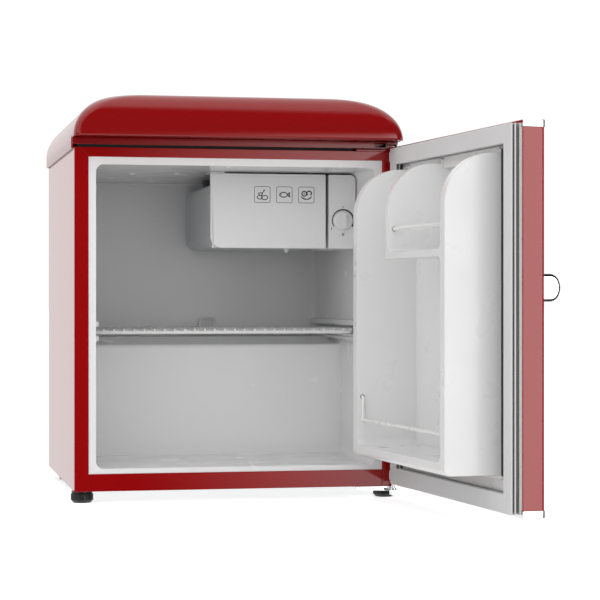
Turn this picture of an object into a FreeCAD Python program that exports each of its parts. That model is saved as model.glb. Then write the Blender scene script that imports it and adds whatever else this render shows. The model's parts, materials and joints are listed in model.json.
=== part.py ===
import FreeCAD, Part
import math
import os

V = FreeCAD.Vector

# Retro compact refrigerator. Millimetres, +Z up, door side towards -Y.
# Origin: on the floor, below the centre of the cabinet. The door stands open at its rest pose.

# ---------------------------------------------------------------- driving dimensions: cabinet
CABINET_W = 440.0            # outside width over the side panels
CABINET_D = 424.0            # front frame face to rear face of the side panels
FRAME_H = 458.7              # underside of the cabinet to the top of the front frame
FOOT_H = 15.5                # floor to the underside of the cabinet
SHEET = 1.0                  # painted steel sheet
STILE_W = 19.0               # front return of each side panel
TOP_RAIL_H = 12.7
BOTTOM_RAIL_H = 23.0
HEM = 8.0                    # depth of the folded hems behind the front frame
REAR_FLANGE = 14.0
CORNER_R = 2.0               # fold radius at the front vertical edges

# inner liner
LINER_T = 1.6
LINER_FLANGE = 10.0          # visible white flange round the opening
LINER_FLANGE_BOTTOM = 7.0
CAVITY_D = 377.0             # front frame face to the upper back wall
CAVITY_CORNER_R = 10.0
CAVITY_DRAFT = 3.5           # how far each side closes in towards the back
RIB_DEPTH = 8.0
RIB_START = 26.0             # front end of the ribs, behind the frame face
LOWER_RIB_Z = 199.0          # underside of the lower rib, above the cabinet's underside
LOWER_RIB_H = 8.3
SLOT_H = 11.2                # free height between the two ribs of a side
UPPER_RIB_H = 8.5

# compressor hump in the cavity and the bay behind it
HUMP_FRONT = 207.0           # front frame face to the lower back wall
HUMP_SHOULDER_Z = 190.0
HUMP_SHOULDER_D = 54.0       # length of the sloping shoulder
HUMP_TOP_Z = 201.0
BAY_WALL = 25.0              # insulation between the hump and the compressor bay

# top cover
COVER_OVERHANG_X = 3.5
COVER_FRONT = 40.0           # how far the cover stands out in front of the frame
COVER_REAR = 4.0
COVER_SKIRT_LAP = 1.2        # how far the side and rear skirts reach below the top of the frame
BAND_GAP = 3.7               # joint between the frame's top and the trim band
BAND_H = 9.1                 # the cover's front edge rests on the band
BAND_DEPTH = 14.0
COVER_RISE = 58.5            # height of the rolled edge
COVER_CROWN = 5.0
COVER_ROLL_SIDE = 73.0
COVER_ROLL_FRONT = 48.0
COVER_ROLL_BACK = 60.0
COVER_CORNER_R = 14.0
COVER_REAR_CORNER_R = 4.0
COVER_SKIRT_START = 5.0      # front end of the side skirts, behind the frame face
COVER_T = 2.5
BAND_PROUD = 3.0

# feet
FOOT_D = 30.0
FOOT_INSET_X = 12.0
FOOT_INSET_Y = 18.0
REAR_FOOT_INSET_X = 22.0
REAR_FOOT_INSET_Y = 56.0     # from the rear face
FOOT_STUD_D = 8.0
FOOT_HOLE_PLAY = 0.8         # hole in the base over the stud's diameter
FOOT_FLUTES = 24
FOOT_NUT_D = 16.0            # threaded insert in the base
FOOT_NUT_H = 14.0

# freezer box and control panel
FREEZER_FRONT = 105.0        # front frame face to the flap's front
FREEZER_W = 165.0
FLAP_TOP_GAP = 3.4           # ceiling to the flap's top
FREEZER_H = 91.5
FREEZER_D = 231.0
FREEZER_T = 2.0
FREEZER_R = 16.0
FLAP_H = 104.6
FLAP_T = 6.0
FLAP_FACE_T = 2.4            # face of the flap in front of its hollow back
FLAP_RIM = 3.0
FLAP_HINGE_RIM = 9.0
FLAP_CLEARANCE = 2.4         # flap's back to the evaporator's mouth
FLAP_PIN_D = 3.0
FLAP_PIN_INSET = 4.0
FLAP_PIN_REACH = 1.6
LUG_Z = 0.8                  # lower lug above the flap's lower edge
LUG_T = 1.4
HANGER_INSET = 20.0
HANGER_W = 12.0
HANGER_T = 1.5
NIPPLE_SHARE = 0.71          # drain nipple's place along the evaporator's width
NIPPLE_Y = 45.0
PANEL_GAP = 4.4
PANEL_W = 39.2
PANEL_D = 120.0
PANEL_R = 8.0
KNOB_D = 27.0
KNOB_H = 11.0
KNOB_RISE = 39.6             # knob's centre above the panel's lower edge
KNOB_INSET = 20.9            # knob's centre from the panel's left side
PANEL_MARGIN = 2.4           # panel to the liner's wall at the opening
PANEL_T = 2.0
SHAFT_D = 6.0
SWITCH_W = 30.0
SWITCH_H = 44.0
SWITCH_D = 30.0
SWITCH_NOSE = 6.0
PLUG_D = 6.0                 # plugs of the foam vent holes in the ceiling

# wire shelf
SHELF_FRONT = 104.0
SHELF_BACK_GAP = 11.0        # shelf to the upper back wall
SHELF_SIDE_GAP = 1.2         # shelf frame to the liner wall at the back
SHELF_FRAME_D = 4.7
SHELF_WIRE_D = 3.0
SHELF_WIRES = 27
SHELF_STOP_WIRE = 15         # the wire that the stop's right leg is welded to, counted from the left
SHELF_STOP_W = 23.0
SHELF_STOP_H = 13.0
SHELF_SEAT_GAP = 0.35
SHELF_BEND = 14.0
SHELF_WIRE_END = 2.6         # how far the wires reach past the frame bar

# ---------------------------------------------------------------- driving dimensions: door
DOOR_Z = 0.5                 # lower edge, above the cabinet's underside
DOOR_LAP = 7.1               # how far the door reaches above the front frame
DOOR_T = 28.0
DOOR_GAP = 13.9              # front frame face to the inner face of the closed door
DOOR_EDGE_R = 4.0
DOOR_SHEET = 0.8
DOOR_RETURN = 3.0
DOOR_INNER_R = 2.6           # rounding of the inner hinge-side edge, so it turns clear of the frame
CAP_H = 9.0
CAP_PROUD = 1.3
CAP_EDGE_R = 4.5
OPEN_ANGLE = 95.0            # rest pose: how far the door stands open
PIVOT_INSET = 5.2            # hinge axis, in from the side of the cabinet
PIVOT_FRONT = 7.45           # hinge axis, in front of the frame face
PIN_D = 5.5
PIN_CLEARANCE = 0.05         # radial running clearance of the pin in its bush
BUSH_T = 1.2
KNUCKLE_R = 5.4
KNUCKLE_H = 12.0
KNUCKLE_RISE = 9.0           # lower knuckle's underside above the door's lower edge
BRACKET_T = 2.5
BRACKET_W = 56.0
LOWER_BRACKET_D = 39.0
UPPER_BRACKET_D = 29.4
LIP_DROP = 4.0               # lower bracket's tongue below the cabinet's underside
PIN_COLLAR_D = 9.0
PIN_NUT_R = 5.2
PIN_NUT_H = 4.5
TONGUE_R = 5.9               # stays inside the circle that the door's inner face clears

# gasket, as layers from the door outwards: (depth, inset of the outer edge, width)
GASKET_INSET = 4.5
GASKET_HINGE_INSET = 12.0
GASKET_W = 24.0
GASKET_LAYERS = ((2.5, 0.0, 0.0), (4.0, 3.0, 4.0), (2.0, 0.0, 1.5), (2.5, 3.0, 3.0), (2.5, 0.0, 1.5))

# storage moulding of the door liner
MOULD_HINGE = 42.0           # its hinge side, from the door's hinge edge
MOULD_FREE = 56.0            # its free side, from the door's free edge
MOULD_Z = 47.0
MOULD_TOP_GAP = 35.8         # its top, below the door's upper edge
MOULD_P = 76.0               # how far it stands out of the inner face
MOULD_TOP_R = 62.0
MOULD_EDGE_R = 7.0
MOULD_WALL = 15.0
MOULD_PLINTH = 6.0
PLINTH_P = 4.0
BAY_BACK = 8.0               # how far the pockets reach behind the door's inner face
POCKET_HEAD = 4.0            # the moulding's top above that recess
POCKET_R = 8.0
DIVIDER_HINGE = 173.0        # hinge side of the divider, from the door's hinge edge
DIVIDER_T = 11.0
POCKET_DEPTH = 114.0         # moulding's top to the floor of the upper pocket
POCKET_T = 9.0
LINER_SKIN = 1.6
RAIL_D = 4.3
RAIL_PIVOT_Z = 126.0
RAIL_DROP = 31.0
RAIL_P = 68.0
RAIL_PLAY = 0.6              # gap between the rail's legs and the side walls
RACK_BAR_D = 5.0
RACK_BAR_RISE = 29.5         # bar above the pocket's floor
RACK_SEAT = 7.0
RAIL_HOLE_DEPTH = 8.0

# handle
HANDLE_L = 140.0
HANDLE_EDGE = 12.0           # from the door's free edge
HANDLE_Z = 269.5
HANDLE_H = 32.7
HANDLE_P = 25.6
HANDLE_FOOT = 26.0
HANDLE_GRIP_T = 9.0

# refrigeration circuit
COMPRESSOR_D = 118.0
COMPRESSOR_H = 132.0
COMPRESSOR_INSET_X = 150.0   # its centre from the right side of the cabinet
COMPRESSOR_FORWARD = 6.0     # its centre in front of the bay's middle
MOUNT_HALF_X = 72.0          # its four mounting points, from the centre
MOUNT_HALF_Y = 46.0
FOOT_PLATE_T = 2.5
CHANNEL_H = 8.0              # galvanised channels under the compressor
CHANNEL_W = 28.0
CHANNEL_T = 2.0
GROMMET_H = 6.0
GROMMET_BORE_R = 3.2
BOLT_D = 6.0
RELAY_W = 34.0
TUBE_D = 5.0
CAPILLARY_D = 2.0
CONDENSER_TUBE_D = 4.8
CONDENSER_WIRE_D = 1.6
CONDENSER_WIRES = 26
CONDENSER_RUNS = 9
CONDENSER_INSET = 40.0
CONDENSER_RISE = 18.0        # lowest run above the bay's roof
CONDENSER_TOP_GAP = 36.0
CLIP_W = 12.0
CONDENSER_STANDOFF = 14.0
GLAND_D = 10.0               # hole of the mains lead's inlet in the rear flange
GLAND_BORE = 4.4
GLAND_Z = 60.0               # above the cabinet's underside

# fasteners
SCREW_D = 4.0
SCREW_HEAD_D = 8.0
SCREW_HEAD_H = 2.2

# ---------------------------------------------------------------- derived sizes
COVER_SKIRT_Z = FRAME_H - COVER_SKIRT_LAP
BAND_Z = FRAME_H + BAND_GAP
COVER_LIP_Z = BAND_Z + BAND_H
FREEZER_Z = FRAME_H - TOP_RAIL_H - LINER_FLANGE - FLAP_TOP_GAP - FLAP_H
FREEZER_X = CABINET_W - STILE_W - LINER_FLANGE - PANEL_MARGIN - PANEL_W - PANEL_GAP - FREEZER_W
SHELF_D = CAVITY_D - SHELF_FRONT - SHELF_BACK_GAP
DOOR_W = CABINET_W
DOOR_H = FRAME_H + DOOR_LAP - DOOR_Z
MOULD_W = DOOR_W - MOULD_HINGE - MOULD_FREE
MOULD_H = DOOR_Z + DOOR_H - MOULD_TOP_GAP - MOULD_Z
POCKET_Z = MOULD_Z + MOULD_H - POCKET_DEPTH
RACK_BAR_Z = POCKET_Z + RACK_BAR_RISE

# ---------------------------------------------------------------- derived planes
XL = -CABINET_W / 2
XR = CABINET_W / 2
YF = -CABINET_D / 2
YB = CABINET_D / 2
Z0 = FOOT_H                  # underside of the cabinet
ZT = Z0 + FRAME_H            # top of the front frame
OPEN_X0 = XL + STILE_W
OPEN_X1 = XR - STILE_W
OPEN_Z0 = Z0 + BOTTOM_RAIL_H
OPEN_Z1 = ZT - TOP_RAIL_H
CAV_X0 = OPEN_X0 + LINER_FLANGE
CAV_X1 = OPEN_X1 - LINER_FLANGE
CAV_Z0 = OPEN_Z0 + LINER_FLANGE_BOTTOM
CAV_Z1 = OPEN_Z1 - LINER_FLANGE
CAV_YB = YF + CAVITY_D
BAY_YF = YF + HUMP_FRONT + BAY_WALL
BAY_Z1 = Z0 + HUMP_TOP_Z - BAY_WALL
PIVOT = V(XR - PIVOT_INSET, YF - PIVOT_FRONT, 0)
DOOR_IN = YF - DOOR_GAP      # inner face of the closed door
DOOR_OUT = DOOR_IN - DOOR_T
DOOR_HINGE_X = CABINET_W / 2
DOOR_FREE_X = DOOR_HINGE_X - DOOR_W
DOOR_Z0 = Z0 + DOOR_Z
DOOR_Z1 = DOOR_Z0 + DOOR_H


# ---------------------------------------------------------------- shape helpers
def box(x0, x1, y0, y1, z0, z1):
    """A block between two corners."""
    return Part.makeBox(x1 - x0, y1 - y0, z1 - z0, V(x0, y0, z0))


def rod(centre, direction, diameter, length):
    """A round bar that starts at centre."""
    return Part.makeCylinder(diameter / 2, length, centre, direction)


def fuse(shapes):
    """One solid from touching shapes, with shared faces cleaned away."""
    shapes = list(shapes)
    body = shapes[0].multiFuse(shapes[1:]) if len(shapes) > 1 else shapes[0]
    return body.removeSplitter()


def group(shapes):
    """Separate solids that share one node."""
    return Part.makeCompound(list(shapes))


def rounded_rect(x0, x1, z0, z1, radii, place):
    """A closed wire with a radius at each corner: low-left, low-right, top-right, top-left."""
    corners = ((x0, z0), (x1, z0), (x1, z1), (x0, z1))
    turns = ((1, 1), (-1, 1), (-1, -1), (1, -1))
    starts = (math.pi, 1.5 * math.pi, 0.0, 0.5 * math.pi)
    edges = []
    previous = None
    first = None
    for (cx, cz), (tx, tz), start, r in zip(corners, turns, starts, radii):
        r = max(r, 0.01)
        mid_x = cx + tx * r
        mid_z = cz + tz * r
        points = []
        for step in (0, 0.5, 1):
            angle = start + step * math.pi / 2
            points.append(place(mid_x + r * math.cos(angle), mid_z + r * math.sin(angle)))
        if previous is None:
            first = points[0]
        elif previous.distanceToPoint(points[0]) > 1e-4:
            edges.append(Part.LineSegment(previous, points[0]).toShape())
        edges.append(Part.Arc(points[0], points[1], points[2]).toShape())
        previous = points[2]
    edges.append(Part.LineSegment(previous, first).toShape())
    return Part.Wire(edges)


def front_plate(x0, x1, z0, z1, radii, y0, y1):
    """A plate parallel to the front, with rounded corners."""
    face = Part.Face(rounded_rect(x0, x1, z0, z1, radii, lambda a, b: V(a, y0, b)))
    return face.extrude(V(0, y1 - y0, 0))


def polygon_prism(points, place, along):
    """Straight-sided outline, placed by a function and extruded."""
    wire = Part.makePolygon([place(a, b) for a, b in points] + [place(*points[0])])
    return Part.Face(wire).extrude(along)


def bent_bar(points, diameter, bend):
    """A round wire: straight runs joined by tangent arcs of one bend radius."""
    edges = []
    start = points[0]
    for i in range(1, len(points) - 1):
        corner = points[i]
        back = (points[i - 1] - corner).normalize()
        ahead = (points[i + 1] - corner).normalize()
        half = back.getAngle(ahead) / 2
        reach = bend / math.tan(half)
        middle = corner + (back + ahead).normalize() * (bend / math.sin(half) - bend)
        first = corner + back * reach
        last = corner + ahead * reach
        if start.distanceToPoint(first) > 1e-3:
            edges.append(Part.LineSegment(start, first).toShape())
        edges.append(Part.Arc(first, middle, last).toShape())
        start = last
    edges.append(Part.LineSegment(start, points[-1]).toShape())
    path = Part.Wire(edges)
    tangent = (points[1] - points[0]).normalize()
    ring = Part.Wire(Part.makeCircle(diameter / 2, points[0], tangent))
    return path.makePipeShell([ring], True, False, 2)


def lathe(profile, centre, direction=V(0, 0, 1)):
    """A turned solid: profile is (radius, height) from the axis outwards."""
    wire = Part.makePolygon([V(r, 0, h) for r, h in profile] + [V(profile[0][0], 0, profile[0][1])])
    solid = Part.Face(wire).revolve(V(0, 0, 0), V(0, 0, 1), 360)
    solid.Placement = FreeCAD.Placement(centre, FreeCAD.Rotation(V(0, 0, 1), direction))
    return solid


def screw(head_seat, direction, length, head_d=SCREW_HEAD_D):
    """A pan-head screw: its head stands off the seat against the direction of its shank."""
    back = direction * -1
    head = lathe(((0, 0), (head_d / 2, 0), (head_d / 2 - 0.3, SCREW_HEAD_H * 0.6),
                  (head_d / 2 - 1.4, SCREW_HEAD_H), (0, SCREW_HEAD_H)), head_seat, back)
    recess = rod(head_seat + back * (SCREW_HEAD_H - 1.0), back, 2.6, 2.0)
    return fuse([head, rod(head_seat, direction, SCREW_D, length)]).cut(recess)


def vertical_edges(shape, test):
    """Straight edges along Z whose middle passes a test."""
    found = []
    for edge in shape.Edges:
        a = edge.Vertexes[0].Point
        b = edge.Vertexes[-1].Point
        if abs(a.x - b.x) < 1e-4 and abs(a.y - b.y) < 1e-4 and abs(a.z - b.z) > 1e-3:
            if test((a + b) * 0.5):
                found.append(edge)
    return found


def opened(shape):
    """Turn a shape from the closed door to the open rest pose."""
    turned = shape.copy()
    turned.rotate(PIVOT, V(0, 0, 1), OPEN_ANGLE)
    return turned


def door_box(w0, w1, p0, p1, z0, z1):
    """A block on the closed door: w from the hinge edge, p out of the inner face, z above the cabinet."""
    return box(DOOR_HINGE_X - w1, DOOR_HINGE_X - w0, DOOR_IN + p0, DOOR_IN + p1, Z0 + z0, Z0 + z1)


def door_point(w, p, z):
    """A point on the closed door."""
    return V(DOOR_HINGE_X - w, DOOR_IN + p, Z0 + z)


# ---------------------------------------------------------------- cabinet casing
def side_panel(side):
    """Folded sheet: front stile with a hem, flat side and rear flange; the stile is mitred at its top."""
    outer = XL if side < 0 else XR

    def span(a, b, y0, y1):
        xa = outer - side * a
        xb = outer - side * b
        return box(min(xa, xb), max(xa, xb), y0, y1, Z0, ZT)

    panel = fuse([
        span(0, SHEET, YF, YB),
        span(0, STILE_W, YF, YF + SHEET),
        span(STILE_W - SHEET, STILE_W, YF, YF + HEM),
        span(0, REAR_FLANGE, YB - SHEET, YB),
    ])
    corner = vertical_edges(panel, lambda m: abs(m.x - outer) < 0.01 and abs(m.y - YF) < 0.01)
    panel = panel.makeFillet(min(CORNER_R, 0.95 * SHEET), corner)
    mitre = polygon_prism(
        ((STILE_W - TOP_RAIL_H, ZT), (STILE_W + 1, OPEN_Z1 - 1), (STILE_W + 1, ZT + 1),
         (STILE_W - TOP_RAIL_H, ZT + 1)),
        lambda a, z: V(outer - side * a, YF - 1, z), V(0, HEM + 2, 0))
    tail = outer - side * STILE_W
    notch = box(min(tail, tail + side * SHEET), max(tail, tail + side * SHEET), YF + SHEET, YF + HEM,
                OPEN_Z1 - SHEET, ZT)
    return panel.cut(mitre).cut(notch)


def top_rail():
    """Front rail over the opening, mitred into the two stiles, with a hem and a top return."""
    face = polygon_prism(
        ((OPEN_X0, OPEN_Z1), (OPEN_X1, OPEN_Z1), (OPEN_X1 + TOP_RAIL_H, ZT), (OPEN_X0 - TOP_RAIL_H, ZT)),
        lambda x, z: V(x, YF, z), V(0, SHEET, 0))
    hem = box(OPEN_X0, OPEN_X1, YF, YF + HEM, OPEN_Z1, OPEN_Z1 + SHEET)
    top = box(OPEN_X0 - TOP_RAIL_H + SHEET, OPEN_X1 + TOP_RAIL_H - SHEET, YF, YF + HEM, ZT - SHEET, ZT)
    return fuse([face, hem, top])


def bottom_rail():
    """Front rail under the opening, butted between the two stiles."""
    face = box(OPEN_X0, OPEN_X1, YF, YF + SHEET, Z0, OPEN_Z0)
    hem = box(OPEN_X0, OPEN_X1, YF, YF + HEM, OPEN_Z0 - SHEET, OPEN_Z0)
    foot = box(OPEN_X0, OPEN_X1, YF, YF + HEM, Z0, Z0 + SHEET)
    return fuse([face, hem, foot])


def top_plate():
    """Steel sheet that closes the top of the insulation, under the cover."""
    return box(XL + SHEET, XR - SHEET, YF + HEM, YB - SHEET, ZT - SHEET, ZT)


def base_plate():
    """Steel sheet under the cabinet, with the holes of the two levelling feet."""
    plate = box(XL + SHEET, XR - SHEET, YF + HEM, YB - SHEET, Z0, Z0 + SHEET)
    for x, y in front_foot_places():
        plate = plate.cut(rod(V(x, y, Z0 - 1), V(0, 0, 1), FOOT_STUD_D + FOOT_HOLE_PLAY, SHEET + 2))
    return plate


def back_panel():
    """Flat rear cover over the insulation, above the compressor bay."""
    inset = 5.0
    return box(XL + inset, XR - inset, YB, YB + SHEET, BAY_Z1 + 4.0, ZT - 6.0)


def bay_plate():
    """Stepped galvanised sheet that forms the front and the roof of the compressor bay."""
    x0 = XL + SHEET
    x1 = XR - SHEET
    front = box(x0, x1, BAY_YF, BAY_YF + SHEET, Z0 + SHEET, BAY_Z1)
    roof = box(x0, x1, BAY_YF, YB - SHEET, BAY_Z1 - SHEET, BAY_Z1)
    lip = box(XL + REAR_FLANGE, XR - REAR_FLANGE, YB - SHEET, YB, BAY_Z1 - SHEET, BAY_Z1 + 12.0)
    lip_foot = box(XL + REAR_FLANGE, XR - REAR_FLANGE, YB - 2 * SHEET, YB, BAY_Z1 - SHEET, BAY_Z1)
    plate = fuse([front, roof, lip, lip_foot])
    for x, y in suction_places():
        plate = plate.cut(rod(V(x, y, BAY_Z1 - 5), V(0, 0, 1), TUBE_D + 1.0, 10))
    return plate


def cavity(grow, front):
    """The food space, grown on every side: a box that closes in towards the back, less the hump."""
    radius = CAVITY_CORNER_R + grow
    sections = []
    for y in (front, CAV_YB + grow):
        inset = CAVITY_DRAFT * (y - YF) / CAVITY_D
        sections.append(rounded_rect(
            CAV_X0 - grow + inset, CAV_X1 + grow - inset, CAV_Z0 - grow + inset * 0.6,
            CAV_Z1 + grow - inset, (radius,) * 4, lambda a, b, y=y: V(a, y, b)))
    space = Part.makeLoft(sections, True, True)
    hump_y = YF + HUMP_FRONT + grow
    floor = CAV_Z0 - 20.0
    hump = polygon_prism(
        ((hump_y, floor), (hump_y, Z0 + HUMP_SHOULDER_Z - grow),
         (hump_y + HUMP_SHOULDER_D, Z0 + HUMP_TOP_Z - grow),
         (CAV_YB + 20.0, Z0 + HUMP_TOP_Z - grow), (CAV_YB + 20.0, floor)),
        lambda y, z: V(XL - 10.0, y, z), V(CABINET_W + 20.0, 0, 0))
    return space.cut(hump)


def shelf_ribs(grow=0.0):
    """Two ribs on each side wall that leave a slot for the wire shelf."""
    ribs = []
    lower = (Z0 + LOWER_RIB_Z, Z0 + LOWER_RIB_Z + LOWER_RIB_H)
    upper_z = Z0 + LOWER_RIB_Z + LOWER_RIB_H + SLOT_H
    for z0, z1 in (lower, (upper_z, upper_z + UPPER_RIB_H)):
        for side, wall in ((1, CAV_X0), (-1, CAV_X1)):
            back_wall = wall + side * CAVITY_DRAFT
            outline = (
                (wall - side * 1.0, YF + RIB_START), (wall + side * RIB_DEPTH, YF + RIB_START + 8.0),
                (back_wall + side * RIB_DEPTH, CAV_YB), (back_wall - side * 1.0, CAV_YB))
            rib = polygon_prism(outline, lambda x, y, z0=z0: V(x, y, z0), V(0, 0, z1 - z0))
            ribs.append(rib)
    return ribs


def inner_liner():
    """Vacuum-formed white liner: flange, tapered walls, hump over the compressor and shelf ribs."""
    flange_y = YF + SHEET
    flange = front_plate(OPEN_X0, OPEN_X1, OPEN_Z0, OPEN_Z1, (1.0,) * 4, flange_y, flange_y + LINER_T)
    shell = cavity(LINER_T, flange_y + LINER_T * 0.5)
    ribs = [rib.common(cavity(LINER_T * 0.5, flange_y)) for rib in shelf_ribs()]
    liner = fuse([flange, shell]).cut(cavity(0.0, flange_y - 1.0))
    plug_holes = [rod(V(x, y, CAV_Z1 - 8), V(0, 0, 1), PLUG_D, 20) for x, y in ceiling_plug_places()]
    return fuse([liner] + ribs).cut(group(plug_holes))


def foam_insulation():
    """Polyurethane foam that fills the space between the liner and the casing."""
    front = YF + SHEET + LINER_T
    block = box(XL + SHEET, XR - SHEET, front, YB - SHEET, Z0 + SHEET, ZT - SHEET)
    tools = [
        cavity(LINER_T, YF - 1.0),
        box(XL - 1, XR + 1, BAY_YF, YB + 1, Z0 - 1, BAY_Z1),
        box(XL, OPEN_X0, front - 1, YF + HEM, Z0, ZT),
        box(OPEN_X1, XR, front - 1, YF + HEM, Z0, ZT),
        box(XL, XR, front - 1, YF + HEM, OPEN_Z1, ZT),
        box(XL, XR, front - 1, YF + HEM, Z0, OPEN_Z0),
    ]
    for x, y in front_foot_places():
        tools.append(rod(V(x, y, Z0), V(0, 0, 1), FOOT_NUT_D, FOOT_NUT_H))
    for x, y in ceiling_plug_places():
        tools.append(rod(V(x, y, CAV_Z1), V(0, 0, 1), PLUG_D, 12.0))
    for x, y in suction_places():
        tools.append(rod(V(x, y, BAY_Z1 - 1), V(0, 0, 1), TUBE_D + 2.0, ZT - BAY_Z1))
    return block.cut(group(tools))


# ---------------------------------------------------------------- top cover
def cover_section(turn, grow, drop=0.0):
    """A level of the rolled dome: it shrinks as the roll turns from vertical to flat."""
    shrink = 1.0 - math.cos(turn)
    x0 = XL - COVER_OVERHANG_X + COVER_ROLL_SIDE * shrink + grow
    x1 = XR + COVER_OVERHANG_X - COVER_ROLL_SIDE * shrink - grow
    y0 = YF - COVER_FRONT + COVER_ROLL_FRONT * shrink + grow
    y1 = YB + COVER_REAR - COVER_ROLL_BACK * shrink - grow
    grown = 0.5 * COVER_ROLL_FRONT * shrink - grow
    front_r = COVER_CORNER_R + grown
    rear_r = COVER_REAR_CORNER_R + grown
    z = Z0 + COVER_LIP_Z + COVER_RISE * math.sin(turn) - grow - drop
    return rounded_rect(x0, x1, y0, y1, (front_r, front_r, rear_r, rear_r), lambda a, b: V(a, b, z))


def cover_form(grow):
    """The closed outer form of the cover, inset by a thickness."""
    turns = [math.radians(a) for a in (0, 15, 30, 45, 60, 73, 84)]
    levels = [cover_section(t, grow) for t in turns]
    levels[0] = cover_section(0.0, grow, COVER_LIP_Z - COVER_SKIRT_Z - grow + (20.0 if grow else 0.0))
    levels.insert(1, cover_section(0.0, grow, -grow))
    lower = Part.makeLoft(levels[:2], True, True)
    upper = Part.makeLoft(levels[1:], True, False)
    return fuse([lower, upper])


def crown():
    """A slight crown on top of the cover."""
    top = cover_section(math.radians(84), 0.0)
    box_top = top.BoundBox
    z = box_top.ZMax
    inset = 90.0
    small = rounded_rect(box_top.XMin + inset, box_top.XMax - inset, box_top.YMin + inset,
                         box_top.YMax - inset, (20.0,) * 4, lambda a, b: V(a, b, z + COVER_CROWN))
    return Part.makeLoft([top, small], True, True)


def top_cover():
    """Domed moulded cover: skirt at the sides and back, deep overhang over the door."""
    outer = fuse([cover_form(0.0), crown()])
    inner = cover_form(COVER_T)
    shell = outer.cut(inner)
    under_front = box(XL - 20, XR + 20, YF - COVER_FRONT - 5, YF + COVER_SKIRT_START, Z0 + COVER_SKIRT_Z - 5,
                      Z0 + COVER_LIP_Z)
    soffit_form = cover_form(0.5 * COVER_T)
    soffit = box(XL - 20, XR + 20, YF - COVER_FRONT - 5, YF + BAND_DEPTH, Z0 + COVER_LIP_Z,
                 Z0 + COVER_LIP_Z + COVER_T).common(soffit_form)
    return fuse([shell.cut(under_front), soffit])


def top_trim_band():
    """Front band between the frame and the cover, with the slot and the room of the upper hinge."""
    z0 = Z0 + BAND_Z
    z1 = Z0 + COVER_LIP_Z
    side = BAND_PROUD - 0.3
    face = box(XL - side, XR + side, YF - BAND_PROUD, YF - BAND_PROUD + 2.5, z0, z1)
    body = box(XL + 1.0, XR - 1.0, YF - BAND_PROUD + 2.5, YF + BAND_DEPTH, z0, z1)
    hollow = box(XL + 3.0, XR - 60.0, YF, YF + BAND_DEPTH + 1, z0 + 2.0, z1 + 1)
    slot = box(XR - 30.0, XR - 14.0, YF - BAND_PROUD - 1, YF + 6.0, z0 + 2.0, z0 + 7.6)
    swing_room = box(PIVOT.x - KNUCKLE_R - 3.0, XR + 20, YF - BAND_PROUD - 1, YF + COVER_SKIRT_START,
                     z0 - 1, z0 + 5.4)
    bracket_room = box(XR - 57.0, XR, YF, YF + 31.0, z0 - 1, ZT + BRACKET_T + 0.3)
    return fuse([face, body]).cut(hollow).cut(slot).cut(swing_room).cut(bracket_room)


def band_spacer():
    """Black foam strip that closes the joint between the frame's top and the trim band."""
    return box(XL + 4, XR - 60, YF + 1.0, YF + BAND_DEPTH - 2, ZT, Z0 + BAND_Z)


# ---------------------------------------------------------------- feet
def front_foot_places():
    """Centres of the two levelling feet."""
    return ((XL + FOOT_INSET_X, YF + FOOT_INSET_Y), (XR - FOOT_INSET_X, YF + FOOT_INSET_Y))


def levelling_foot(x, y):
    """Knurled foot with a threaded stud that screws into the base."""
    r = FOOT_D / 2
    top = FOOT_H - BRACKET_T - 0.8
    body = lathe(((0, 0), (r - 3.5, 0), (r - 0.8, 3.0), (r, 3.6), (r, top - 1.0), (r - 1.0, top), (0, top)),
                 V(x, y, 0))
    flutes = []
    for i in range(FOOT_FLUTES):
        a = 2 * math.pi * i / FOOT_FLUTES
        flutes.append(rod(V(x + r * math.cos(a), y + r * math.sin(a), 4.2), V(0, 0, 1), 2.0, top))
    stud = rod(V(x, y, top - 0.5), V(0, 0, 1), FOOT_STUD_D, Z0 + FOOT_NUT_H - 1.0 - top)
    return fuse([body.cut(group(flutes)), stud])


def levelling_nuts():
    """Threaded inserts in the base that take the studs of the feet."""
    nuts = []
    for x, y in front_foot_places():
        nut = rod(V(x, y, Z0 + SHEET), V(0, 0, 1), FOOT_NUT_D, FOOT_NUT_H - SHEET)
        if x < 0:
            nut = fuse([nut, rod(V(x, y, Z0 - BRACKET_T), V(0, 0, 1), FOOT_D - 2.0, BRACKET_T),
                        rod(V(x, y, Z0), V(0, 0, 1), FOOT_STUD_D + FOOT_HOLE_PLAY, SHEET)])
        nuts.append(nut.cut(rod(V(x, y, Z0 - 5), V(0, 0, 1), FOOT_STUD_D + 0.12, FOOT_NUT_H + 6)))
    return group(nuts)


def rear_feet():
    """Two plain tapered feet under the compressor bay."""
    feet = []
    for x in (XL + REAR_FOOT_INSET_X, XR - REAR_FOOT_INSET_X):
        feet.append(lathe(((0, 0), (9.0, 0), (10.0, 1.0), (12.0, Z0 - 2.0), (12.0, Z0), (0, Z0)),
                          V(x, YB - REAR_FOOT_INSET_Y, 0)))
    return group(feet)


# ---------------------------------------------------------------- freezer box, control panel
FX0 = XL + FREEZER_X
FX1 = FX0 + FREEZER_W
FZ0 = Z0 + FREEZER_Z
FZ1 = FZ0 + FREEZER_H
FY0 = YF + FREEZER_FRONT
PANEL_X0 = FX1 + PANEL_GAP
PANEL_X1 = PANEL_X0 + PANEL_W
PANEL_TOP = FZ0 + FLAP_H


def ice_box():
    """Roll-bond aluminium evaporator, folded into an open-fronted box."""
    y0 = FY0 + FLAP_T + FLAP_CLEARANCE
    y1 = y0 + FREEZER_D
    x1 = FX1 - 1.0
    radii = (FREEZER_R, 6.0, 6.0, 12.0)
    inner_radii = tuple(r - FREEZER_T for r in radii)
    outer = front_plate(FX0 + 1.0, x1, FZ0 + 1.0, FZ1, radii, y0, y1)
    inner = front_plate(FX0 + 1.0 + FREEZER_T, x1 - FREEZER_T, FZ0 + 1.0 + FREEZER_T, FZ1 - FREEZER_T,
                        inner_radii, y0 - 1, y1 - FREEZER_T)
    return outer.cut(inner)


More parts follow.
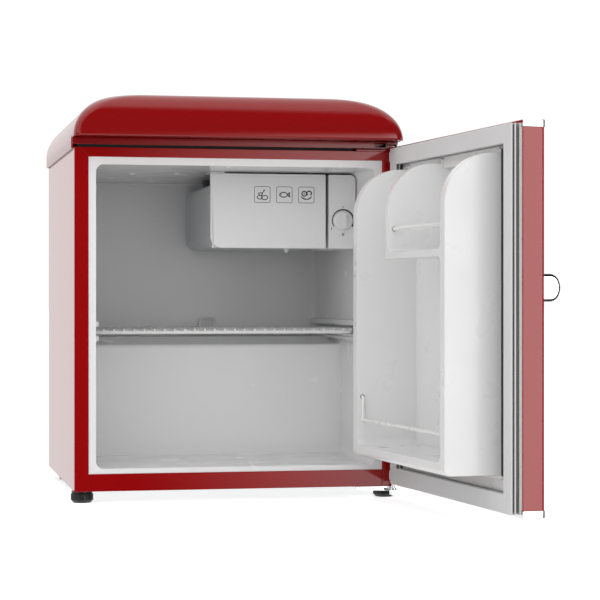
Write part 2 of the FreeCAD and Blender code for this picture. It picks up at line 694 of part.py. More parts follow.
def ice_box_hangers():
    """Two brackets that hang the evaporator from the ceiling."""
    hangers = []
    for y in (FY0 + 60.0, FY0 + 190.0):
        top = CAV_Z1 - CAVITY_DRAFT * (y + HANGER_W - YF) / CAVITY_D
        x0 = FX0 + HANGER_INSET
        x1 = FX1 - HANGER_INSET
        foot = box(x0, x1, y, y + HANGER_W, FZ1, FZ1 + HANGER_T)
        web = box(x0, x1, y, y + HANGER_T, FZ1, top)
        flange = box(x0, x1, y, y + HANGER_W, top - HANGER_T, top)
        hangers.append(fuse([foot, web, flange]))
    return group(hangers)


def ice_box_nipple():
    """Small drain nipple under the evaporator."""
    x = FX0 + NIPPLE_SHARE * FREEZER_W
    y = FY0 + NIPPLE_Y
    return lathe(((0, -5.0), (2.0, -5.0), (2.6, -4.0), (3.4, -1.5), (3.4, 1.0), (0, 1.0)), V(x, y, FZ0))


def flap_axis():
    """Point on the vertical axis of the freezer flap."""
    return V(FX0 + FLAP_PIN_INSET, FY0 + FLAP_T / 2, FZ0)


def freezer_flap():
    """White flap over the freezer box, with a stiffening rim behind and its two pins."""
    radii = (FREEZER_R, 1.5, 1.5, 1.5)
    face = front_plate(FX0, FX1, FZ0, PANEL_TOP, radii, FY0, FY0 + FLAP_T)
    pocket_radii = (FREEZER_R - FLAP_RIM, 1.0, 1.0, 1.0)
    pocket = front_plate(FX0 + FLAP_HINGE_RIM, FX1 - FLAP_RIM, FZ0 + FLAP_RIM, PANEL_TOP - FLAP_RIM,
                         pocket_radii, FY0 + FLAP_FACE_T, FY0 + FLAP_T + 1)
    axis = flap_axis()
    upper = rod(V(axis.x, axis.y, PANEL_TOP - 2.0), V(0, 0, 1), FLAP_PIN_D, 2.0 + FLAP_PIN_REACH)
    lower = rod(V(axis.x, axis.y, FZ0 + LUG_Z + 0.1), V(0, 0, 1), FLAP_PIN_D, 9.0)
    return fuse([face.cut(pocket), upper, lower])


def flap_bracket():
    """Hinge plate on the ceiling and a small lug on the box, which hold the flap's two pins."""
    axis = flap_axis()
    rear = axis.y + 40.0
    ceiling = CAV_Z1 - CAVITY_DRAFT * (rear - YF) / CAVITY_D
    plate = box(axis.x - 3.5, axis.x + 16.0, axis.y - 2.6, rear, PANEL_TOP + 0.4, ceiling)
    lug_z = FZ0 + LUG_Z
    ear = box(axis.x - 2.4, axis.x + 2.6, axis.y - 2.4, FY0 + FLAP_T + FLAP_CLEARANCE, lug_z, lug_z + LUG_T)
    foot = box(axis.x - 2.4, FX0 + 14.0, FY0 + FLAP_T + 0.6, FY0 + FLAP_T + FLAP_CLEARANCE,
               lug_z, lug_z + LUG_T)
    hole = rod(V(axis.x, axis.y, FZ0 - 5), V(0, 0, 1), FLAP_PIN_D + 0.12, FLAP_H + 20.0)
    return group([plate.cut(hole), fuse([ear, foot]).cut(hole)])


def thermostat_housing():
    """Hollow control panel beside the freezer box, open at its back."""
    radii = (1.5, 1.5, PANEL_R, 1.5)
    inner_radii = (0.5, 0.5, PANEL_R - PANEL_T, 0.5)
    y1 = FY0 + PANEL_D
    outer = front_plate(PANEL_X0, PANEL_X1, FZ0, PANEL_TOP, radii, FY0, y1)
    inner = front_plate(PANEL_X0 + PANEL_T, PANEL_X1 - PANEL_T, FZ0 + PANEL_T, PANEL_TOP - PANEL_T,
                        inner_radii, FY0 + PANEL_T, y1 + 1)
    shaft_hole = rod(knob_centre() + V(0, -1, 0), V(0, 1, 0), SHAFT_D + 3.0, PANEL_T + 2)
    return outer.cut(inner).cut(shaft_hole)


def knob_centre():
    """Centre of the thermostat knob on the panel's face."""
    return V(PANEL_X0 + KNOB_INSET, FY0, FZ0 + KNOB_RISE)


def thermostat_knob():
    """Round knob with a grip bar across its face; its hub runs on the thermostat's shaft."""
    centre = knob_centre() + V(0, -0.4, 0)
    r = KNOB_D / 2
    dish = lathe(((SHAFT_D / 2 + 0.05, 0), (r, 0), (r - 0.3, 2.2), (r - 2.0, 3.6), (SHAFT_D / 2 + 0.05, 3.6)),
                 centre, V(0, -1, 0))
    grip = box(centre.x - 3.2, centre.x + 3.2, centre.y - KNOB_H, centre.y - 3.0, centre.z - r + 2.4,
               centre.z + r - 2.4)
    grip = grip.makeFillet(1.2, [e for e in grip.Edges if e.BoundBox.YMax < centre.y - KNOB_H + 0.1])
    bore = rod(centre + V(0, 1, 0), V(0, -1, 0), SHAFT_D + 0.1, 8.0)
    return fuse([dish, grip]).cut(bore)


def thermostat_switch():
    """Thermostat body inside the housing, with the shaft that carries the knob."""
    c = knob_centre()
    front = c.y + PANEL_T + SWITCH_NOSE
    body = box(c.x - SWITCH_W / 2, c.x + SWITCH_W / 2, front, front + SWITCH_D, c.z - SWITCH_H / 2,
               c.z + SWITCH_H / 2)
    nose = rod(c + V(0, PANEL_T, 0), V(0, 1, 0), 2 * SHAFT_D, SWITCH_NOSE)
    shaft = rod(c + V(0, -7.0, 0), V(0, 1, 0), SHAFT_D, PANEL_T + 8.0)
    return fuse([body, nose, shaft])


def sensing_tube():
    """Capillary of the thermostat, clipped along the evaporator's side."""
    c = knob_centre()
    x = FX1 - 1.0 + CAPILLARY_D / 2
    y_body = c.y + PANEL_T + SWITCH_NOSE + SWITCH_D
    bend_y = FY0 + PANEL_D + 14.0
    z = c.z + 8.0
    return bent_bar([V(c.x - 8.0, y_body, z), V(c.x - 8.0, bend_y, z), V(x, bend_y, z),
                     V(x, bend_y + 60.0, z)], CAPILLARY_D, 5.0)


def ceiling_plug_places():
    """Centres of the two plugs in the liner's ceiling."""
    return ((XL + 97.0, YF + 162.0), (XL + 159.0, YF + 150.0))


def ceiling_plugs():
    """White plugs that close the foam vent holes of the ceiling."""
    plugs = []
    for x, y in ceiling_plug_places():
        z = CAV_Z1 - CAVITY_DRAFT * (y - YF) / CAVITY_D
        stem = PLUG_D / 2 - 0.05
        profile = ((0, -1.4), (2.4, -1.4), (4.2, -0.1), (stem, -0.1), (stem, 6.0), (0, 6.0))
        plugs.append(lathe(profile, V(x, y, z)))
    return group(plugs)


# ---------------------------------------------------------------- wire shelf
SHELF_X1 = CAV_X1 - CAVITY_DRAFT - SHELF_SIDE_GAP - SHELF_FRAME_D / 2
SHELF_X0 = -SHELF_X1
SHELF_W = SHELF_X1 - SHELF_X0
SHELF_PITCH = SHELF_W / (SHELF_WIRES - 1)
SHELF_Y0 = YF + SHELF_FRONT
SHELF_Y1 = SHELF_Y0 + SHELF_D
SHELF_Z = Z0 + LOWER_RIB_Z + LOWER_RIB_H + SHELF_SEAT_GAP + SHELF_FRAME_D / 2


def shelf_frame():
    """Outer frame of the wire shelf, one bent and welded bar, with two cross bars."""
    r = SHELF_BEND
    loop = rounded_rect(SHELF_X0, SHELF_X1, SHELF_Y0, SHELF_Y1, (r, r, r, r), lambda a, b: V(a, b, SHELF_Z))
    path = Part.Wire(Part.__sortEdges__(loop.Edges))
    first = loop.Edges[0]
    along = first.tangentAt(first.FirstParameter)
    section = Part.makeCircle(SHELF_FRAME_D / 2, first.Vertexes[0].Point, along)
    bar = path.makePipeShell([Part.Wire(section)], True, False, 2)
    crosses = []
    for share in (0.36, 0.72):
        y = SHELF_Y0 + share * SHELF_D
        crosses.append(rod(V(SHELF_X0, y, SHELF_Z), V(1, 0, 0), SHELF_FRAME_D - 0.7, SHELF_W))
    return fuse([bar] + crosses)


def shelf_wires():
    """Parallel wires welded on top of the shelf frame; the two outermost stop short of the bends."""
    z = SHELF_Z + SHELF_FRAME_D / 2 + SHELF_WIRE_D / 2 - 0.4
    wires = []
    for i in range(SHELF_WIRES):
        outermost = i in (0, SHELF_WIRES - 1)
        reach = SHELF_WIRE_END - (SHELF_BEND - 1.0 if outermost else 0.0)
        wires.append(rod(V(SHELF_X0 + i * SHELF_PITCH, SHELF_Y0 - reach, z), V(0, 1, 0), SHELF_WIRE_D,
                         SHELF_D + 2 * reach))
    return group(wires)


def shelf_stop():
    """Bail that stands up at the rear of the shelf and keeps food off the back wall."""
    x1 = SHELF_X0 + SHELF_STOP_WIRE * SHELF_PITCH
    x0 = x1 - SHELF_STOP_W
    y = SHELF_Y1 - 1.0
    z0 = SHELF_Z + 1.0
    z1 = SHELF_Z + SHELF_STOP_H + 4.0
    return bent_bar([V(x0, y, z0), V(x0, y, z1), V(x1, y, z1), V(x1, y, z0)], SHELF_WIRE_D, 4.0)


# ---------------------------------------------------------------- door
SKIN_Z0 = DOOR_Z + CAP_H
SKIN_Z1 = DOOR_Z + DOOR_H - CAP_H
MOULD_Z1 = MOULD_Z + MOULD_H


def hinge_side_inner(middle):
    """True for the vertical edge of the door slab that passes the frame when the door opens."""
    return abs(middle.y - DOOR_IN) < 0.01 and abs(middle.x - DOOR_HINGE_X) < 0.01


def door_skin():
    """Painted steel shell of the door: outer face, two long edges and their narrow returns."""
    outer = door_box(0, DOOR_W, -DOOR_T, 0, SKIN_Z0, SKIN_Z1)
    corners = vertical_edges(outer, lambda m: abs(m.y - DOOR_OUT) < 0.01)
    outer = outer.makeFillet(DOOR_EDGE_R, corners)
    outer = outer.makeFillet(DOOR_INNER_R, vertical_edges(outer, hinge_side_inner))
    inner = door_box(DOOR_SHEET, DOOR_W - DOOR_SHEET, -DOOR_T + DOOR_SHEET, -DOOR_SHEET,
                     SKIN_Z0 - 1, SKIN_Z1 + 1)
    inner_corners = vertical_edges(inner, lambda m: m.y < DOOR_OUT + DOOR_SHEET + 0.01)
    inner = inner.makeFillet(DOOR_EDGE_R - DOOR_SHEET, inner_corners)
    near = vertical_edges(inner, lambda m: m.y > DOOR_IN - 1.0 and m.x > DOOR_HINGE_X - 1.0)
    inner = inner.makeFillet(DOOR_INNER_R - DOOR_SHEET, near)
    mouth = door_box(DOOR_RETURN, DOOR_W - DOOR_RETURN, -DOOR_SHEET - 1, 1, SKIN_Z0 - 1, SKIN_Z1 + 1)
    return outer.cut(inner).cut(mouth)


def door_cap(top):
    """Chromed end cap that closes the door shell, slightly proud of its outer face."""
    z0, z1 = (SKIN_Z1, SKIN_Z1 + CAP_H) if top else (SKIN_Z0 - CAP_H, SKIN_Z0)
    cap = door_box(0, DOOR_W, -DOOR_T - CAP_PROUD, 0, z0, z1)
    corners = vertical_edges(cap, lambda m: m.y < DOOR_OUT)
    cap = cap.makeFillet(CAP_EDGE_R, corners)
    cap = cap.makeFillet(DOOR_INNER_R, vertical_edges(cap, hinge_side_inner))
    edge_z = Z0 + (z1 if top else z0)
    rim = [e for e in cap.Edges
           if abs(e.BoundBox.ZMin - edge_z) < 0.01 and abs(e.BoundBox.ZMax - edge_z) < 0.01
           and e.BoundBox.YMin < DOOR_IN - 1.0]
    cap = cap.makeFillet(1.2, rim)
    hollow_z = (z0 - 1, z1 - 2.0) if top else (z0 + 2.0, z1 + 1)
    return cap.cut(door_box(4.0, DOOR_W - 4.0, -DOOR_T + 3.0, -3.0, *hollow_z))


def mould_outline(w, shrink):
    """Side profile of the storage moulding: large quarter round at the top front, small one at the bottom."""
    z0 = MOULD_Z + shrink
    z1 = MOULD_Z1 - shrink
    p1 = MOULD_P - shrink
    r = MOULD_TOP_R - shrink
    s = max(MOULD_EDGE_R - shrink, 1.0)
    d = math.sqrt(0.5)
    outline = ((-0.5, z0), (p1 - s, z0), (p1 - s + s * d, z0 + s - s * d), (p1, z0 + s), (p1, z1 - r),
               (p1 - r + r * d, z1 - r + r * d), (p1 - r, z1), (-0.5, z1))
    point = [door_point(w, p, z) for p, z in outline]
    edges = [
        Part.LineSegment(point[0], point[1]).toShape(),
        Part.Arc(point[1], point[2], point[3]).toShape(),
        Part.LineSegment(point[3], point[4]).toShape(),
        Part.Arc(point[4], point[5], point[6]).toShape(),
        Part.LineSegment(point[6], point[7]).toShape(),
        Part.LineSegment(point[7], point[0]).toShape(),
    ]
    return Part.Face(Part.Wire(edges))


def pocket_block(w0, w1, z0, z1, radii, back):
    """The space of a pocket, cut from the front of the moulding to its back."""
    def place(a, b):
        return door_point(a, back, b)

    face = Part.Face(rounded_rect(w0, w1, z0, z1, radii, place))
    return face.extrude(V(0, MOULD_P + 10.0 - back, 0))


def storage_form(shrink):
    """The moulding with its three pockets, every wall thinned by shrink on both sides."""
    block = mould_outline(MOULD_HINGE + shrink, shrink).extrude(V(-(MOULD_W - 2 * shrink), 0, 0))
    w0 = MOULD_HINGE + MOULD_WALL - shrink
    w1 = MOULD_HINGE + MOULD_W - MOULD_WALL + shrink
    divider0 = DIVIDER_HINGE + shrink
    divider1 = DIVIDER_HINGE + DIVIDER_T - shrink
    floor = MOULD_Z + MOULD_WALL - shrink
    top = MOULD_Z1 + 60.0
    head = MOULD_Z1 - POCKET_HEAD - LINER_SKIN + shrink
    r = POCKET_R
    back = -BAY_BACK - shrink
    tall = [pocket_block(w0, divider0, floor, z1, (r, 0, 0, 0), p)
            for z1, p in ((top, -shrink), (head, back))]
    low = pocket_block(w0 + 1.0, w1, floor, POCKET_Z - POCKET_T + shrink, (r, r, r, 0), back)
    high = [pocket_block(divider1, w1, POCKET_Z - shrink, z1, (r, r, 0, 0), p)
            for z1, p in ((top, -shrink), (head, back))]
    return block, fuse(tall + [low]), fuse(high)


def rail_holes():
    """Holes in the moulding's walls for the bottle rail and the upper rack bar."""
    w0 = MOULD_HINGE + MOULD_WALL
    w1 = MOULD_HINGE + MOULD_W - MOULD_WALL
    depth = RAIL_HOLE_DEPTH
    holes = []
    for start, direction in ((w0, -1), (w1, 1)):
        origin = door_point(start - direction * 0.5, RAIL_P, RAIL_PIVOT_Z)
        holes.append(rod(origin, V(-direction, 0, 0), RAIL_D + 0.12, depth + 0.5))
    bar_start = DIVIDER_HINGE + DIVIDER_T - RACK_SEAT
    holes.append(rod(door_point(bar_start, RAIL_P, RACK_BAR_Z), V(-1, 0, 0), RACK_BAR_D + 0.1,
                     w1 + RACK_SEAT - bar_start))
    return group(holes)


def door_liner():
    """Glossy white inner panel of the door with its moulded storage pockets."""
    block, lower, upper = storage_form(0.0)
    edge = DOOR_RETURN + 0.2
    plate = door_box(edge, DOOR_W - edge, -LINER_SKIN, 0, SKIN_Z0 + 0.2, SKIN_Z1 - 0.2)
    m = MOULD_PLINTH
    plinth = front_plate(DOOR_HINGE_X - MOULD_HINGE - MOULD_W - m, DOOR_HINGE_X - MOULD_HINGE + m,
                         Z0 + MOULD_Z - m, Z0 + MOULD_Z1 + m, (14.0,) * 4, DOOR_IN - 0.5, DOOR_IN + PLINTH_P)
    backs = []
    for w0, w1, z0, z1 in pocket_backs():
        backs.append(door_box(w0 - LINER_SKIN, w1 + LINER_SKIN, -BAY_BACK - LINER_SKIN, -0.5,
                              z0 - LINER_SKIN, z1))
    skin_block, skin_lower, skin_upper = storage_form(LINER_SKIN)
    hollow = skin_block.cut(skin_lower).cut(skin_upper)
    behind = door_box(MOULD_HINGE + LINER_SKIN, MOULD_HINGE + MOULD_W - LINER_SKIN, -LINER_SKIN - 1, 0.6,
                      MOULD_Z + LINER_SKIN, MOULD_Z1 - LINER_SKIN).cut(skin_lower).cut(skin_upper)
    liner = fuse([plate, plinth, block] + backs).cut(lower).cut(upper)
    return liner.cut(fuse([hollow, behind])).cut(rail_holes())


def pocket_backs():
    """Rectangles behind the pockets: hinge-side and free-side edge, floor and top."""
    w0 = MOULD_HINGE + MOULD_WALL
    w1 = MOULD_HINGE + MOULD_W - MOULD_WALL
    floor = MOULD_Z + MOULD_WALL
    return (
        (w0, DIVIDER_HINGE, floor, MOULD_Z1 - POCKET_HEAD),
        (DIVIDER_HINGE, w1, floor, POCKET_Z - POCKET_T),
        (DIVIDER_HINGE + DIVIDER_T, w1, POCKET_Z, MOULD_Z1 - POCKET_HEAD),
    )


def door_foam(liner):
    """Foam core of the door, including the hollow walls of the moulding."""
    core = door_box(DOOR_SHEET, DOOR_W - DOOR_SHEET, -DOOR_T + DOOR_SHEET, -DOOR_SHEET, SKIN_Z0, SKIN_Z1)
    corners = vertical_edges(core, lambda m: m.y < DOOR_OUT + DOOR_SHEET + 0.01)
    core = core.makeFillet(DOOR_EDGE_R - DOOR_SHEET, corners)
    near = vertical_edges(core, lambda m: m.y > DOOR_IN - 1.0 and m.x > DOOR_HINGE_X - 1.0)
    core = core.makeFillet(DOOR_INNER_R - DOOR_SHEET, near)
    block, lower, upper = storage_form(LINER_SKIN)
    walls = block.cut(lower).cut(upper)
    _, lower0, upper0 = storage_form(0.0)
    foam = fuse([core, walls]).cut(liner).cut(lower0).cut(upper0)
    bosses = [rod(door_point(w, -DOOR_T, HANDLE_Z), V(0, 1, 0), SCREW_HEAD_D + 1.0, 14.0)
              for w in handle_feet()]
    foam = foam.cut(group(bosses)).cut(rail_holes())
    return max(foam.Solids, key=lambda s: s.Volume)


def gasket():
    """Magnetic door seal: a bellows ring in layers, with grooves round its outside."""
    outer_w0 = GASKET_HINGE_INSET
    outer_w1 = DOOR_W - GASKET_INSET
    z0 = DOOR_Z + GASKET_INSET
    z1 = DOOR_Z + DOOR_H - GASKET_INSET
    p = 0.0
    layers = []
    for depth, inset, narrower in GASKET_LAYERS:
        width = GASKET_W - narrower
        ring = door_box(outer_w0 + inset, outer_w1 - inset, p, p + depth, z0 + inset, z1 - inset)
        hole = door_box(outer_w0 + width, outer_w1 - width, p - 1, p + depth + 1, z0 + width, z1 - width)
        layers.append(ring.cut(hole))
        p += depth
    return fuse(layers)


def handle_feet():
    """Distances from the hinge edge of the two handle screws."""
    free = DOOR_W - HANDLE_EDGE
    return (free - HANDLE_FOOT / 2, free - HANDLE_L + HANDLE_FOOT / 2)


def handle():
    """Chromed bar handle with a D profile; its middle stands clear of the door for the fingers."""
    free = DOOR_W - HANDLE_EDGE
    h = HANDLE_H / 2
    flat = 0.5 * HANDLE_P
    start = door_point(free, -DOOR_T, HANDLE_Z)

    def at(p, dz):
        return start + V(0, -p, dz)

    edges = [
        Part.LineSegment(at(0, -h), at(flat, -h)).toShape(),
        Part.Arc(at(flat, -h), at(HANDLE_P * 0.80, -h * 0.80), at(HANDLE_P * 0.945, -h * 0.42)).toShape(),
        Part.Arc(at(HANDLE_P * 0.945, -h * 0.42), at(HANDLE_P, 0), at(HANDLE_P * 0.945, h * 0.42)).toShape(),
        Part.Arc(at(HANDLE_P * 0.945, h * 0.42), at(HANDLE_P * 0.80, h * 0.80), at(flat, h)).toShape(),
        Part.LineSegment(at(flat, h), at(0, h)).toShape(),
        Part.LineSegment(at(0, h), at(0, -h)).toShape(),
    ]
    bar = Part.Face(Part.Wire(edges)).extrude(V(HANDLE_L, 0, 0))
    grip_gap = door_box(free - HANDLE_L + HANDLE_FOOT, free - HANDLE_FOOT, -DOOR_T - HANDLE_P + HANDLE_GRIP_T,
                        -DOOR_T + 1, HANDLE_Z - h - 1, HANDLE_Z + h + 1)
    bar = bar.cut(grip_gap)
    for w in handle_feet():
        bar = bar.cut(rod(door_point(w, -DOOR_T + 0.1, HANDLE_Z), V(0, -1, 0), SCREW_D, 12.0))
    return bar


def handle_screws():
    """Two screws that hold the handle from inside the door shell."""
    screws = []
    for w in handle_feet():
        seat = door_point(w, -DOOR_T + DOOR_SHEET, HANDLE_Z)
        screws.append(screw(seat, V(0, -1, 0), 10.0))
    return group(screws)


def rack_bar():
    """White wire across the upper pocket that keeps bottles and cans in."""
    w0 = DIVIDER_HINGE + DIVIDER_T - RACK_SEAT
    w1 = MOULD_HINGE + MOULD_W - MOULD_WALL + RACK_SEAT
    return rod(door_point(w0, RAIL_P, RACK_BAR_Z), V(-1, 0, 0), RACK_BAR_D, w1 - w0)


def bottle_rail():
    """Wire bail across the lower pocket; its ends turn in the side walls."""
    w0 = MOULD_HINGE + MOULD_WALL
    w1 = MOULD_HINGE + MOULD_W - MOULD_WALL
    leg = RAIL_D / 2 + RAIL_PLAY
    seat = RAIL_HOLE_DEPTH - 1.0
    low = RAIL_PIVOT_Z - RAIL_DROP
    points = [
        door_point(w0 - seat, RAIL_P, RAIL_PIVOT_Z), door_point(w0 + leg, RAIL_P, RAIL_PIVOT_Z),
        door_point(w0 + leg, RAIL_P, low), door_point(w1 - leg, RAIL_P, low),
        door_point(w1 - leg, RAIL_P, RAIL_PIVOT_Z), door_point(w1 + seat, RAIL_P, RAIL_PIVOT_Z)]
    return bent_bar(points, RAIL_D, RAIL_D / 2 + 0.3)


# ---------------------------------------------------------------- hinges
def knuckle(z0):
    """Steel lug on the door's hinge edge that carries a bush, clear of the gasket."""
    c = V(PIVOT.x, PIVOT.y, Z0 + z0)
    barrel = rod(c, V(0, 0, 1), 2 * KNUCKLE_R, KNUCKLE_H)
    web = box(PIVOT.x - KNUCKLE_R, DOOR_HINGE_X, DOOR_IN, PIVOT.y, Z0 + z0, Z0 + z0 + KNUCKLE_H)
    bore = rod(c - V(0, 0, 1), V(0, 0, 1), PIN_D + 2 * (PIN_CLEARANCE + BUSH_T), KNUCKLE_H + 2)
    return fuse([barrel, web]).cut(bore)


def knuckle_levels():
    """Undersides of the lower and the upper knuckle."""
    return (DOOR_Z + KNUCKLE_RISE, DOOR_Z + DOOR_H - KNUCKLE_RISE - KNUCKLE_H)


def hinge_knuckles():
    """The two lugs of the door."""
    return group(knuckle(z) for z in knuckle_levels())


def hinge_bushes():
    """Plastic bushes pressed into the knuckles."""
    bushes = []
    for z in knuckle_levels():
        c = V(PIVOT.x, PIVOT.y, Z0 + z)
        outer = rod(c, V(0, 0, 1), PIN_D + 2 * (PIN_CLEARANCE + BUSH_T), KNUCKLE_H)
        bushes.append(outer.cut(rod(c - V(0, 0, 1), V(0, 0, 1), PIN_D + 2 * PIN_CLEARANCE, KNUCKLE_H + 2)))
    return group(bushes)


def lower_hinge_bracket():
    """Zinc-plated bracket under the front right corner, with a turned-down stiffening lip."""
    x0 = XR - BRACKET_W
    x1 = XR - 0.5
    arm_y = PIVOT.y - 8.0
    plate = box(x0, x1, YF + 1.0, YF + 1.0 + LOWER_BRACKET_D, Z0 - BRACKET_T, Z0)
    foot_hole = rod(V(XR - FOOT_INSET_X, YF + FOOT_INSET_Y, Z0 - 5), V(0, 0, 1), FOOT_STUD_D + 2.0, 10)
    arm = box(PIVOT.x - 7.5, x1, arm_y, YF + 2.0, Z0 - BRACKET_T - LIP_DROP, Z0 - LIP_DROP)
    tongue_z = Z0 - LIP_DROP - BRACKET_T
    lip = polygon_prism(
        ((x0, Z0), (x0, Z0 - 5.0), (PIVOT.x - 7.5, tongue_z), (x1, tongue_z), (x1, Z0)),
        lambda x, z: V(x, YF + 0.4, z), V(0, 1.6, 0))
    pin_hole = rod(V(PIVOT.x, PIVOT.y, Z0 - 20), V(0, 0, 1), PIN_D, 30)
    bracket = fuse([plate, arm, lip]).cut(foot_hole).cut(pin_hole)
    return bracket


def lower_hinge_pin():
    """Chromed pin of the lower hinge, held in the bracket by its shoulder and nut."""
    z_arm = Z0 - LIP_DROP
    z_top = Z0 + DOOR_Z + KNUCKLE_RISE + KNUCKLE_H - 1.0
    c = V(PIVOT.x, PIVOT.y, 0)
    z_nut = z_arm - BRACKET_T - PIN_NUT_H
    shank = rod(V(c.x, c.y, z_nut - 1.0), V(0, 0, 1), PIN_D, z_top - z_nut + 1.0)
    collar = rod(V(c.x, c.y, z_arm), V(0, 0, 1), PIN_COLLAR_D, 2.0)
    turns = [a * math.pi / 3 for a in range(7)]
    hexagon = [V(c.x + PIN_NUT_R * math.cos(a), c.y + PIN_NUT_R * math.sin(a), z_nut) for a in turns]
    nut = Part.Face(Part.makePolygon(hexagon)).extrude(V(0, 0, PIN_NUT_H))
    return fuse([shank, collar, nut])


def upper_hinge_bracket():
    """Painted bracket on top of the frame; its tongue reaches over the door's upper knuckle."""
    z0 = ZT + 1.0
    arm = box(PIVOT.x - TONGUE_R, XR - 0.2, PIVOT.y, YF + 1.0, z0, z0 + BRACKET_T)
    plate = box(XR - BRACKET_W + 1.0, XR - 1.5, YF + 0.6, YF + 0.6 + UPPER_BRACKET_D, ZT, ZT + BRACKET_T)
    riser = box(PIVOT.x - TONGUE_R, XR - 1.5, YF + 0.6, YF + 1.0 + BRACKET_T, ZT, z0 + BRACKET_T)
    ring = rod(V(PIVOT.x, PIVOT.y, z0), V(0, 0, 1), 2 * TONGUE_R, BRACKET_T + 2.2)
    hole = rod(V(PIVOT.x, PIVOT.y, ZT - 5), V(0, 0, 1), PIN_D, 20)
    return fuse([arm, plate, riser, ring]).cut(hole)


def upper_hinge_pin():
    """Pin of the upper hinge, from the bracket down into the upper knuckle."""
    z_low = Z0 + knuckle_levels()[1] + 1.0
    return rod(V(PIVOT.x, PIVOT.y, z_low), V(0, 0, 1), PIN_D, ZT + 6.4 - z_low)


def lower_hinge_screws():
    """Screws of the lower bracket, driven up into the base."""
    screws = []
    for x, y in ((XR - 46.0, YF + 14.0), (XR - 46.0, YF + 31.0), (XR - 22.0, YF + 35.0)):
        screws.append(screw(V(x, y, Z0 - BRACKET_T), V(0, 0, 1), BRACKET_T + SHEET + 6.0))
    return screws


def upper_hinge_screws():
    """Screws of the upper bracket, driven down into the top plate."""
    screws = []
    for x in (XR - 46.0, XR - 28.0):
        screws.append(screw(V(x, YF + 22.0, ZT + BRACKET_T), V(0, 0, -1), BRACKET_T + SHEET + 6.0))
    return screws


# ---------------------------------------------------------------- refrigeration circuit
CX = XR - COMPRESSOR_INSET_X
CY = (BAY_YF + YB) / 2 - COMPRESSOR_FORWARD
RAIL_TOP = Z0 + SHEET + CHANNEL_H
COMPRESSOR_Z = RAIL_TOP + GROMMET_H


def compressor_places():
    """Centres of the compressor's four mounting points."""
    return [(CX + sx * MOUNT_HALF_X, CY + sy * MOUNT_HALF_Y) for sx in (-1, 1) for sy in (-1, 1)]


def compressor():
    """Hermetic compressor: a welded shell in two halves on a stamped foot plate."""
    r = COMPRESSOR_D / 2
    h = COMPRESSOR_H
    base = COMPRESSOR_Z
    shell = lathe(((0, 6), (r * 0.72, 6), (r * 0.94, 22), (r, 40), (r, h * 0.50), (r + 2.5, h * 0.50),
                   (r + 2.5, h * 0.55), (r - 1, h * 0.55), (r - 1.5, h * 0.72), (r * 0.86, h * 0.88),
                   (r * 0.58, h * 0.97), (0, h)), V(CX, CY, base))
    reach_x = MOUNT_HALF_X + 12.0
    reach_y = MOUNT_HALF_Y + 10.0
    plate = box(CX - reach_x, CX + reach_x, CY - reach_y, CY + reach_y, base, base + FOOT_PLATE_T)
    saddle = rod(V(CX, CY, base), V(0, 0, 1), r * 1.2, 10.0)
    holes = [rod(V(x, y, base - 1), V(0, 0, 1), 8.4, 5) for x, y in compressor_places()]
    terminal = box(CX + r - 6.0, CX + r + 4.0, CY - 16.0, CY + 16.0, base + 34.0, base + 62.0)
    return fuse([shell, plate, saddle, terminal]).cut(group(holes))


def compressor_grommets():
    """Rubber grommets under the compressor's foot plate."""
    grommets = []
    for x, y in compressor_places():
        seat = GROMMET_H - 0.05
        profile = ((GROMMET_BORE_R, 0), (8.5, 0), (8.5, seat), (4.1, seat), (4.1, GROMMET_H + 3.5),
                   (7.5, GROMMET_H + 3.5), (7.5, 2 * GROMMET_H), (GROMMET_BORE_R, 2 * GROMMET_H))
        grommets.append(lathe(profile, V(x, y, RAIL_TOP)))
    return group(grommets)


def compressor_bolts():
    """Bolts with washers that clamp the grommets to the channels."""
    bolts = []
    for x, y in compressor_places():
        z = RAIL_TOP + 2 * GROMMET_H
        shank = rod(V(x, y, RAIL_TOP - CHANNEL_T), V(0, 0, 1), BOLT_D, 2 * GROMMET_H + CHANNEL_T)
        washer = rod(V(x, y, z), V(0, 0, 1), 14.0, 1.4)
        head = rod(V(x, y, z + 1.4), V(0, 0, 1), 10.0, 4.0)
        bolts.append(fuse([shank, washer, head]))
    return group(bolts)


def compressor_rail():
    """Two galvanised channels across the bay that carry the compressor."""
    x0 = XL + SHEET + 2
    x1 = XR - SHEET - 2
    holes = group([rod(V(x, y, RAIL_TOP - 5), V(0, 0, 1), BOLT_D, 10) for x, y in compressor_places()])
    rails = []
    for y in (CY - MOUNT_HALF_Y, CY + MOUNT_HALF_Y):
        y0 = y - CHANNEL_W / 2
        y1 = y + CHANNEL_W / 2
        web = box(x0, x1, y0, y1, RAIL_TOP - CHANNEL_T, RAIL_TOP)
        legs = [box(x0, x1, y0, y0 + CHANNEL_T, Z0 + SHEET, RAIL_TOP),
                box(x0, x1, y1 - CHANNEL_T, y1, Z0 + SHEET, RAIL_TOP)]
        rails.append(fuse([web] + legs).cut(holes))
    return group(rails)


def relay_box():
    """Plastic cover over the start relay and the overload protector."""
    base = COMPRESSOR_Z
    x0 = CX + COMPRESSOR_D / 2 + 4.0
    body = box(x0, x0 + RELAY_W, CY - 24.0, CY + 24.0, base + 28.0, base + 74.0)
    edges = [e for e in body.Edges if e.BoundBox.XMin > x0 + RELAY_W - 1.0]
    return body.makeFillet(4.0, edges)


def suction_places():
    """Where the return line rises through the insulation to the evaporator."""
    return ((XL + 120.0, YB - 14.0),)


def suction_tube():
    """Copper return line from the evaporator to the compressor."""
    x, y = suction_places()[0]
    z = COMPRESSOR_Z + 50.0
    shell_x = CX - COMPRESSOR_D / 2
    return bent_bar([V(shell_x - 0.5, CY, z), V(shell_x - 34.0, CY, z), V(shell_x - 34.0, y, z), V(x, y, z),
                     V(x, y, ZT - 90.0)], TUBE_D, 10.0)


